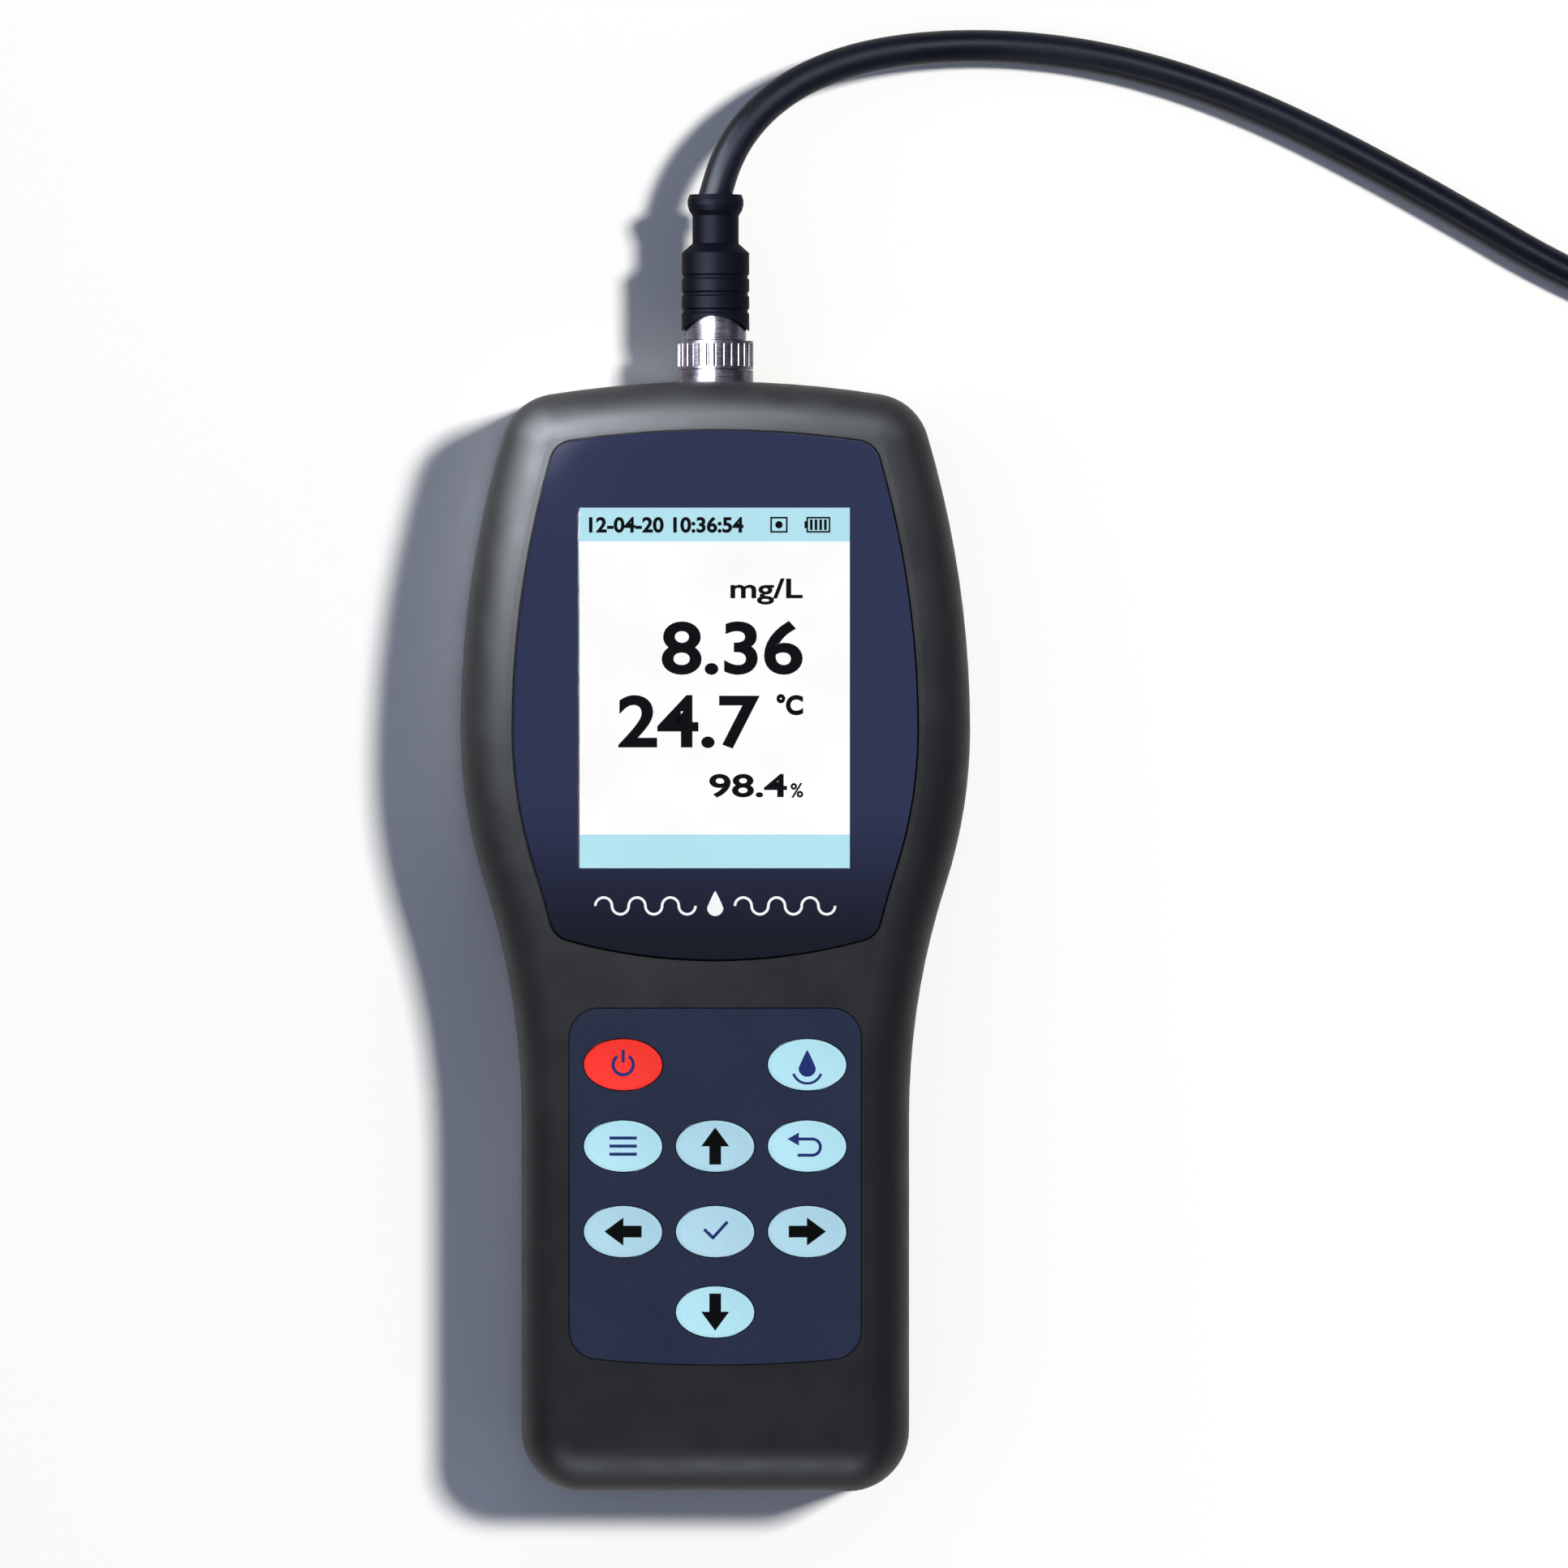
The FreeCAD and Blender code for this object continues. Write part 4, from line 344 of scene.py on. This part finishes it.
def litInk(name, colour, glow):
    finish, tree, shader = newFinish(name)
    pitch, depth = screenLook["elementPitch"], screenLook["gridDepth"]
    waves = []
    for direction in ("X", "Y"):
        turns = arithmetic(tree, "MULTIPLY", axis(tree, direction), 2 * math.pi / pitch)
        wave = arithmetic(tree, "SINE", turns)
        waves.append(spread(tree, wave, 0.4, 1.0, 1.0, 1.0 - depth))
    grid = arithmetic(tree, "MULTIPLY", waves[0], waves[1])
    dark = tuple(0.85 * channel for channel in linear(colour))
    tint = blendColours(tree, grid, dark, linear(colour))
    shader.inputs["Base Color"].default_value = (0.004, 0.004, 0.005, 1)
    shader.inputs["Roughness"].default_value = 0.35
    shader.inputs["Specular IOR Level"].default_value = 0.0
    tree.links.new(tint, shader.inputs["Emission Color"])
    shader.inputs["Emission Strength"].default_value = glow
    return finish


# Circuit board: green mask over copper tracks.
def boardLaminate():
    finish, tree, shader = newFinish("board_laminate")
    cells = addNode(tree, "ShaderNodeTexBrick")
    cells.inputs["Scale"].default_value = 260.0
    cells.inputs["Mortar Size"].default_value = 0.03
    cells.inputs["Color1"].default_value = (*linear((20, 92, 52)), 1)
    cells.inputs["Color2"].default_value = (*linear((24, 104, 60)), 1)
    cells.inputs["Mortar"].default_value = (*linear((48, 132, 78)), 1)
    tree.links.new(objectPoint(tree), cells.inputs["Vector"])
    vias = addNode(tree, "ShaderNodeTexVoronoi")
    vias.inputs["Scale"].default_value = 240.0
    tree.links.new(objectPoint(tree), vias.inputs["Vector"])
    pads = spread(tree, vias.outputs["Distance"], 0.10, 0.14, 1.0, 0.0)
    tree.links.new(blendColours(tree, pads, cells.outputs["Color"], linear((196, 188, 150))),
                   shader.inputs["Base Color"])
    shader.inputs["Roughness"].default_value = 0.35
    roughen(tree, shader, cells.outputs["Fac"], 0.00002)
    return finish


# Dry cell: bare can with a two-colour plain sleeve along its length.
cellLook = {
    "sleeve": (38, 42, 48),
    "band": (188, 146, 92),
    "bandFrom": -0.0500,
    "bandTo": -0.0480,
}


def cellCan():
    finish, tree, shader = newFinish("cell_can")
    along = axis(tree, "Y")
    band = spread(tree, along, cellLook["bandFrom"], cellLook["bandTo"])
    paint(tree, shader, band, cellLook["sleeve"], cellLook["band"])
    shader.inputs["Metallic"].default_value = 0.6
    polish(tree, shader, noise(tree, 200.0), 0.3, 0.7, 0.25, 0.4)
    return finish


# Smooth jacket with a soft shine, wiped unevenly along its length.
jacketLook = {"shade": (5, 8, 19), "colour": (9, 13, 28)}


def cableJacket():
    finish, tree, shader = newFinish("cable_jacket")
    wipe = noise(tree, 1.0, 3.0, 0.6, stretched(tree, (30, 30, 30)))
    speck = noise(tree, 3000.0, 2.0)
    wiped = spread(tree, wipe, 0.3, 0.7)
    paint(tree, shader, wiped, jacketLook["shade"], jacketLook["colour"])
    polish(tree, shader, wipe, 0.3, 0.7, 0.34, 0.44)
    shader.inputs["Specular IOR Level"].default_value = 0.13
    swell = arithmetic(tree, "MULTIPLY", noise(tree, 160.0, 2.0), 6.0)
    lumps = arithmetic(tree, "ADD", swell, speck)
    roughen(tree, shader, lumps, 0.00002)
    return finish


finishes = {
    "housing_plastic": mouldedFinish("housing_plastic", (17, 17, 19), (13, 13, 15), 0.52,
                                     grain=2400.0, depth=0.00001, specular=0.3),
    "seal_rubber": mouldedFinish("seal_rubber", (26, 26, 27), (17, 17, 18), 0.7, specular=0.3),
    "screen_glass": mouldedFinish("screen_glass", (30, 32, 36), (24, 26, 30), 0.12,
                                  grain=900.0, depth=0.000001),
    "sheet_steel": sheetMetal("sheet_steel", (196, 197, 199), (168, 169, 172), 0.34),
    "white_plastic": mouldedFinish("white_plastic", (232, 232, 228), (220, 220, 215), 0.5),
    "panel_film": mouldedFinish("panel_film", (43, 49, 71), (38, 44, 64), 0.5,
                                grain=3600.0, depth=0.000007, specular=0.05),
    "board_laminate": boardLaminate(),
    "switch_plastic": mouldedFinish("switch_plastic", (36, 36, 38), (26, 26, 28), 0.5),
    "cell_can": cellCan(),
    "wire_red": mouldedFinish("wire_red", (176, 30, 26), (150, 22, 20), 0.4),
    "wire_black": mouldedFinish("wire_black", (30, 30, 31), (22, 22, 23), 0.4),
    "nickel_brass": turnedMetal("nickel_brass", (108, 104, 110), (80, 77, 84), 0.27),
    "gold_pin": turnedMetal("gold_pin", (226, 184, 104), (206, 160, 84), 0.25),
    "plug_rubber": mouldedFinish("plug_rubber", (11, 13, 28), (7, 8, 19), 0.5,
                                 grain=2800.0, depth=0.000012, specular=0.03),
    "cable_jacket": cableJacket(),
    "probe_plastic": mouldedFinish("probe_plastic", (40, 40, 44), (31, 31, 34), 0.38),
    "probe_cap_plastic": mouldedFinish("probe_cap_plastic", (58, 58, 62), (47, 47, 50), 0.48),
    "sensor_film": mouldedFinish("sensor_film", (66, 44, 52), (50, 32, 40), 0.3, grain=5000.0),
    "key_red": mouldedFinish("key_red", (255, 62, 52), (246, 52, 44), 0.5,
                             grain=3200.0, depth=0.000006, specular=0.08),
    "key_light_blue": mouldedFinish("key_light_blue", (184, 231, 243), (176, 224, 237), 0.5,
                                    grain=3200.0, depth=0.000006, specular=0.08),
    "key_grey_blue": mouldedFinish("key_grey_blue", (180, 219, 234), (172, 212, 228), 0.5,
                                   grain=3200.0, depth=0.000006, specular=0.08),
}
printFinish = lensPrint()
windowFinish = clearWindow()
paperInk = litInk("display_paper", screenLook["paper"], screenLook["glow"])
barInk = litInk("display_bar", screenLook["bar"], screenLook["glow"])
darkInk = litInk("display_ink", screenLook["ink"], screenLook["inkGlow"])
legendNavy = mouldedFinish("legend_navy", (37, 52, 116), (31, 45, 106), 0.55, specular=0.05)
legendBlack = mouldedFinish("legend_black", (6, 6, 8), (3, 3, 4), 0.55, specular=0.05)
legendWhite = mouldedFinish("legend_white", (252, 252, 252), (240, 241, 242), 0.5, specular=0.2)


def dressNodes():
    for piece in nodes.values():
        for slot in piece.material_slots:
            base = slot.material.name.split(".")[0] if slot.material else ""
            if base in finishes:
                slot.material = finishes[base]
            elif piece.get("of_slot") in finishes:
                slot.material = finishes[piece["of_slot"]]


dressNodes()
sensorCord.data.materials.append(finishes["cable_jacket"])
print("finishes")


# Flat prints and new solid pieces.
def dress(name, form, finish, body="housing"):
    mesh = bpy.data.meshes.new(name)
    form.to_mesh(mesh)
    form.free()
    mesh.materials.append(finish)
    piece = bpy.data.objects.new(name, mesh)
    bpy.context.collection.objects.link(piece)
    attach(piece, body)
    return piece


def shape(*parts):
    form = bmesh.new()
    for part in parts:
        part(form)
    return form


def resize(form, made, wide, tall):
    bmesh.ops.scale(form, vec=(wide, tall, 1), verts=made)


def swing(form, made, degrees):
    turning = Matrix.Rotation(math.radians(degrees), 3, "Z")
    bmesh.ops.rotate(form, cent=(0, 0, 0), matrix=turning, verts=made)


def slide(form, made, x, y):
    bmesh.ops.translate(form, vec=(x * mm, y * mm, 0), verts=made)


# A filled circle round the origin.
def circle(form, sides, radius):
    return bmesh.ops.create_circle(
        form, cap_ends=True, cap_tris=True, segments=sides, radius=radius
    )["verts"]


# A plain bar lying flat, given by its middle, length, width and turn in degrees.
def bar(x, y, length, width, turn=0.0):
    def lay(form):
        made = bmesh.ops.create_grid(form, x_segments=12, y_segments=3, size=0.5)["verts"]
        resize(form, made, length * mm, width * mm)
        swing(form, made, turn)
        slide(form, made, x, y)

    return lay


# A filled round or, with three sides, the head of an arrow pointing along turn.
def disc(x, y, radius, sides=32, turn=0.0, stretch=1.0):
    def lay(form):
        made = circle(form, sides, radius * mm)
        swing(form, made, -90)
        resize(form, made, stretch, 1)
        swing(form, made, turn)
        slide(form, made, x, y)

    return lay


# A filled drop with its point up.
def drop(x, y, radius):
    def lay(form):
        made = circle(form, 48, 1.0)
        for vertex in made:
            rise = max(vertex.co.y, 0.0)
            vertex.co.x *= max(1.0 - rise, 0.0) ** 0.35
            vertex.co.y *= 1.0 + 1.1 * rise
        resize(form, made, radius * mm, radius * mm)
        slide(form, made, x, y)

    return lay


# Part of a flat ring, swept anticlockwise from start through sweep degrees.
def ringPart(x, y, radius, width, start, sweep):
    def lay(form):
        inner = form.verts.new(((radius - width / 2) * mm, 0, 0))
        outer = form.verts.new(((radius + width / 2) * mm, 0, 0))
        edge = form.edges.new((inner, outer))
        swing(form, [inner, outer], start)
        old = set(form.verts) - {inner, outer}
        bmesh.ops.spin(form, geom=[inner, outer, edge], cent=(0, 0, 0), axis=(0, 0, 1),
                       angle=math.radians(sweep), steps=max(6, round(abs(sweep) / 8)),
                       use_merge=abs(sweep) >= 360)
        slide(form, [vertex for vertex in form.verts if vertex not in old], x, y)

    return lay


# Lays a flat shape at a height, faces up.
def layAt(form, height):
    for vertex in form.verts:
        vertex.co.z = height
    bmesh.ops.recalc_face_normals(form, faces=form.faces)
    if form.faces and sum(face.normal.z for face in form.faces) < 0:
        bmesh.ops.reverse_faces(form, faces=form.faces)
    return form


# Lays a flat shape on the surface of a node, a hair above it.
def layOn(form, node, lift=0.00003):
    layAt(form, 0.05)
    bmesh.ops.triangulate(form, faces=form.faces)
    long = [edge for edge in form.edges if edge.calc_length() > 0.0006]
    bmesh.ops.subdivide_edges(form, edges=long, cuts=2, use_grid_fill=False)
    bmesh.ops.triangulate(form, faces=form.faces)
    surface = BVHTree.FromPolygons([node.matrix_world @ v.co for v in node.data.vertices],
                                   [tuple(face.vertices) for face in node.data.polygons])
    for vertex in form.verts:
        hit = surface.ray_cast(vertex.co, Vector((0, 0, -1)))[0]
        if hit:
            vertex.co.z = hit.z + lift
    return form


def textShape(words, left, right, low, high, height, weight=0.0):
    curve = bpy.data.curves.new("words", "FONT")
    curve.body = words
    curve.size = 1.0
    curve.offset = weight
    curve.resolution_u = 6
    holder = bpy.data.objects.new("words", curve)
    bpy.context.collection.objects.link(holder)
    bpy.context.view_layer.update()
    graph = bpy.context.evaluated_depsgraph_get()
    mesh = bpy.data.meshes.new_from_object(holder.evaluated_get(graph))
    form = bmesh.new()
    form.from_mesh(mesh)
    bpy.data.objects.remove(holder)
    bpy.data.meshes.remove(mesh)
    xs = [vertex.co.x for vertex in form.verts]
    ys = [vertex.co.y for vertex in form.verts]
    wide = (right - left) * mm / (max(xs) - min(xs))
    tall = (high - low) * mm / (max(ys) - min(ys))
    bmesh.ops.translate(form, vec=(-min(xs), -min(ys), 0), verts=form.verts)
    bmesh.ops.scale(form, vec=(wide, tall, 1), verts=form.verts)
    bmesh.ops.translate(form, vec=(left * mm, low * mm, 0), verts=form.verts)
    return layAt(form, height)


# Lens: navy printed panel with a clear window flush in it.
lens = {
    "windowWidth": 0.0538,
    "windowHeight": 0.0713,
    "windowCentre": (-0.0003, 0.0492),
    "windowGap": 0.00002,
    "windowBevel": 0.00004,
    "edgeBevel": 0.00022,
}


def makeLensPanel():
    cad = nodes["display_lens"]
    form = bmesh.new()
    form.from_mesh(cad.data)
    bmesh.ops.transform(form, matrix=cad.matrix_world, verts=form.verts)
    bmesh.ops.remove_doubles(form, verts=form.verts, dist=0.000002)
    bmesh.ops.dissolve_limit(form, angle_limit=0.01, verts=form.verts, edges=form.edges)
    rim = [edge for edge in form.edges
           if len(edge.link_faces) == 2 and edge.calc_face_angle(0) > 1.2]
    top = max(vertex.co.z for vertex in form.verts)
    rim = [edge for edge in rim if all(abs(vertex.co.z - top) < 0.00001 for vertex in edge.verts)]
    bmesh.ops.bevel(form, geom=rim, offset=lens["edgeBevel"], affect="EDGES", segments=2,
                    profile=0.5, material=-1)
    x, y = lens["windowCentre"]
    halfWidth, halfHeight = lens["windowWidth"] / 2, lens["windowHeight"] / 2
    cuts = (
        ((x - halfWidth, y, 0), (1, 0, 0)),
        ((x + halfWidth, y, 0), (1, 0, 0)),
        ((x, y - halfHeight, 0), (0, 1, 0)),
        ((x, y + halfHeight, 0), (0, 1, 0)),
    )
    for place, normal in cuts:
        whole = form.verts[:] + form.edges[:] + form.faces[:]
        bmesh.ops.bisect_plane(form, geom=whole, dist=0.000001, plane_co=place, plane_no=normal)
    inside = [face for face in form.faces
              if abs(face.calc_center_median().x - x) < halfWidth
              and abs(face.calc_center_median().y - y) < halfHeight]
    bmesh.ops.delete(form, geom=inside, context="FACES")
    opening = [edge for edge in form.edges if edge.is_boundary]
    bmesh.ops.bridge_loops(form, edges=opening)
    bmesh.ops.recalc_face_normals(form, faces=form.faces)
    panel = dress("lens_panel", form, printFinish)
    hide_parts("display_lens")
    heights = [vertex.co.z for vertex in panel.data.vertices]
    low, high = min(heights), max(heights)
    middle = (low + high) / 2

    def pane(glass):
        made = bmesh.ops.create_cube(glass, size=1)["verts"]
        gap = 2 * lens["windowGap"]
        measures = (lens["windowWidth"] - gap, lens["windowHeight"] - gap, high - low)
        bmesh.ops.scale(glass, vec=measures, verts=made)
        bmesh.ops.translate(glass, vec=(x, y, middle), verts=made)
        upper = [edge for edge in glass.edges if all(end.co.z > middle for end in edge.verts)]
        bmesh.ops.bevel(glass, geom=upper, offset=lens["windowBevel"], affect="EDGES",
                        segments=2, profile=0.5, material=-1)

    window = dress("lens_window", shape(pane), windowFinish)
    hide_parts("display_lens")


makeLensPanel()
print("lens")

# Lit display, in millimetres on the glass.
display = {
    "centre": (-0.3, 49.2),
    "width": 53.9,
    "height": 71.4,
    "topBar": 6.7,
    "bottomBar": 6.7,
    "glassTop": 0.0325,
    "layer": 0.00003,
    "badgePlace": 12.6,
    "batteryPlace": 20.4,
    "iconLevel": 81.5,
    "iconLine": 0.35,
    # What each line shows, its left, right, lower and upper edge, and how bold it is.
    "lines": {
        "clock": ("12-04-20 10:36:54", -25.0, 5.6, 79.9, 83.1, 0.034),
        "oxygen": ("8.36", -10.6, 17.3, 51.8, 62.5, 0.022),
        "oxygen_unit": ("mg/L", 3.0, 17.3, 65.7, 70.9, 0.02),
        "warmth": ("24.7", -19.2, 8.8, 37.2, 47.8, 0.022),
        "warmth_unit": ("°C", 12.1, 17.4, 43.8, 48.0, 0.045),
        "saturation": ("98.4", -1.2, 14.2, 27.5, 32.2, 0.022),
        "saturation_unit": ("%", 14.9, 17.4, 27.5, 30.4, 0.02),
    },
}


def makeDisplay():
    x, y = display["centre"]
    base = display["glassTop"] + display["layer"]
    ink = base + 2 * display["layer"]
    half = display["height"] / 2
    wide, top, bottom = display["width"], display["topBar"], display["bottomBar"]
    page = shape(bar(x, y, wide, display["height"]))
    bars = shape(bar(x, y + half - top / 2, wide, top), bar(x, y - half + bottom / 2, wide, bottom))
    layers = [
        ("display_page", layAt(page, base), paperInk),
        ("display_bars", layAt(bars, base + display["layer"]), barInk),
    ]
    for name, (words, left, right, low, high, weight) in display["lines"].items():
        line = textShape(words, left, right, low, high, ink, weight)
        layers.append(("display_" + name, line, darkInk))
    layers.append(("display_icons", layAt(displayIcons(), ink), darkInk))
    for name, form, finish in layers:
        piece = dress(name, form, finish)


# A small square badge with a dot, and a battery with four cells.
def displayIcons():
    badge, battery = display["badgePlace"], display["batteryPlace"]
    level, line = display["iconLevel"], display["iconLine"]
    parts = [disc(badge, level, 0.75, 16), bar(battery - 2.5, level, 1.4, 0.5, 90)]
    for middle, apart, wide in ((badge, 3.1, 3.4), (battery, 4.4, 4.4)):
        for side in (1, -1):
            parts.append(bar(middle, level + side * 1.4, wide, line))
            parts.append(bar(middle + side * apart / 2, level, 3.1, line, 90))
    parts += [bar(battery - 1.4 + 0.93 * index, level, 2.1, 0.55, 90) for index in range(4)]
    return shape(*parts)


makeDisplay()
print("display")

# Key legends and the lens motif, drawn flat in millimetres.
keyPad = {
    "pitch": 18.2,
    "rows": (-25.3, -41.4, -58.3, -74.2),
    "line": 0.62,
    "arrowLine": 0.6,
    "arcLine": 0.5,
}


def arrow(x, y, turn):
    across = math.radians(turn)
    back, ahead = -1.7, 1.2
    return [
        bar(x + back * math.cos(across), y + back * math.sin(across), 3.9, 2.3, turn),
        disc(x + ahead * math.cos(across), y + ahead * math.sin(across), 3.2, 3, turn, 0.78),
    ]


def makeLegends():
    step, line = keyPad["pitch"], keyPad["line"]
    thin, arc = keyPad["arrowLine"], keyPad["arcLine"]
    first, second, third, fourth = keyPad["rows"]
    power = [ringPart(-step, first, 2.0, line, 125, 290), bar(-step, first + 1.7, 2.5, line, 90)]
    measure = [drop(step, first - 0.7, 1.7), ringPart(step, first - 0.8, 2.9, arc, 200, 140)]
    menu = [bar(-step, second + rise, 5.4, line) for rise in (1.6, 0, -1.6)]
    escape = [
        ringPart(step + 1.0, second - 0.2, 1.6, thin, -90, 180),
        bar(step - 0.6, second + 1.4, 3.4, thin),
        bar(step - 0.4, second - 1.8, 3.0, thin),
        disc(step - 2.4, second + 1.4, 1.5, 3, 180, 1.0),
    ]
    enter = [bar(-1.25, third - 0.45, 2.6, line, -45), bar(0.95, third + 0.3, 4.4, line, 48)]
    legends = {
        "power": (power, legendNavy),
        "measure": (measure, legendNavy),
        "menu": (menu, legendNavy),
        "escape": (escape, legendNavy),
        "enter": (enter, legendNavy),
        "up": (arrow(0, second, 90), legendBlack),
        "left": (arrow(-step, third, 180), legendBlack),
        "right": (arrow(step, third, 0), legendBlack),
        "down": (arrow(0, fourth, 270), legendBlack),
    }
    for name, (parts, finish) in legends.items():
        key = nodes["key_" + name]
        piece = dress("legend_" + name, layOn(shape(*parts), key), finish, "key_" + name)


# A plain drop between two runs of ripples, in the place of the lettering.
motif = {
    "level": 6.3,
    "dropRadius": 1.6,
    "rippleRadius": 1.65,
    "rippleLine": 0.5,
    "firstRipple": 7.2,
    "ripplesEachSide": 3,
    "height": 0.0359 + 0.00002,
}


def makeMotif():
    y, radius, line = motif["level"], motif["rippleRadius"], motif["rippleLine"]
    parts = [drop(0, y - 0.6, motif["dropRadius"])]
    for side in (-1, 1):
        for index in range(motif["ripplesEachSide"]):
            x = side * (motif["firstRipple"] + 4 * radius * index)
            parts.append(ringPart(x - radius, y - 0.2, radius, line, 0, 180))
            parts.append(ringPart(x + radius, y - 0.2, radius, line, 180, 180))
    form = layAt(shape(*parts), motif["height"])
    piece = dress("lens_motif", form, legendWhite)


makeLegends()
makeMotif()
print("legends")

# Floor and studio light.
studio = {
    "floorSize": 30.0,
    "floorColour": (0.985, 0.985, 0.975),
    "sky": (0.80, 0.90, 1.20),
    "skyStrength": 0.21,
    "keyColour": (1.03, 1.01, 0.96),
    "keyPlace": (3.1, 1.3, 5.1),  # gives the colours and the shadow
    "keySize": 0.75,
    "keyPower": 360.0,
    # Soft boxes, seen only as gloss: place, width, height, power and target.
    "softBoxColour": (0.94, 1.0, 1.07),
    "softBoxes": {
        "corner_light": ((-0.14, 0.20, 0.14), 0.14, 0.14, 1.58, (-0.045, 0.09, 0.03)),
        "shoulder_light": ((-0.058, 0.115, 0.13), 0.06, 0.06, 0.50, (-0.04, 0.09, 0.03)),
        "top_light": ((-0.03, 0.168, 0.15), 0.10, 0.04, 0.34, (-0.02, 0.10, 0.03)),
        "cable_light": ((0.14, 0.26, 0.22), 0.24, 0.08, 0.6, (0.08, 0.17, 0.0)),
        "foot_light": ((-0.02, -0.25, 0.16), 0.20, 0.10, 0.50, (0.0, -0.10, 0.03)),
    },
}


def makeFloor():
    def slab(form):
        bmesh.ops.create_grid(form, x_segments=1, y_segments=1, size=studio["floorSize"] / 2)

    mesh = bpy.data.meshes.new("floor")
    form = shape(slab)
    form.to_mesh(mesh)
    form.free()
    floor = bpy.data.objects.new("floor", mesh)
    bpy.context.collection.objects.link(floor)
    finish, _, shader = newFinish("floor_paper")
    shader.inputs["Base Color"].default_value = (*studio["floorColour"], 1)
    shader.inputs["Roughness"].default_value = 0.9
    shader.inputs["Specular IOR Level"].default_value = 0.0
    mesh.materials.append(finish)


def makeLight(name, place, width, height, power, target=(0.0, 0.0, 0.0), colour=(1.0, 1.0, 1.0)):
    data = bpy.data.lights.new(name, "AREA")
    data.shape = "RECTANGLE"
    data.size = width
    data.size_y = height
    data.energy = power
    data.color = colour
    light = bpy.data.objects.new(name, data)
    light.location = place
    aim = Vector(target) - Vector(place)
    light.rotation_euler = aim.to_track_quat("-Z", "Y").to_euler()
    bpy.context.collection.objects.link(light)
    return light


def makeWorld():
    world = bpy.data.worlds.new("studio")
    world.use_nodes = True
    bpy.context.scene.world = world
    background = world.node_tree.nodes["Background"]
    background.inputs["Color"].default_value = (*studio["sky"], 1)
    background.inputs["Strength"].default_value = studio["skyStrength"]


makeFloor()
makeWorld()
keyLight = makeLight("key_light", studio["keyPlace"], studio["keySize"], studio["keySize"],
                     studio["keyPower"], colour=studio["keyColour"])
keyLight.visible_glossy = False
for name, choices in studio["softBoxes"].items():
    softBox = makeLight(name, *choices, colour=studio["softBoxColour"])
    softBox.visible_diffuse = False
    softBox.visible_camera = False
bpy.context.scene.view_settings.view_transform = "Standard"
print("floor and light")
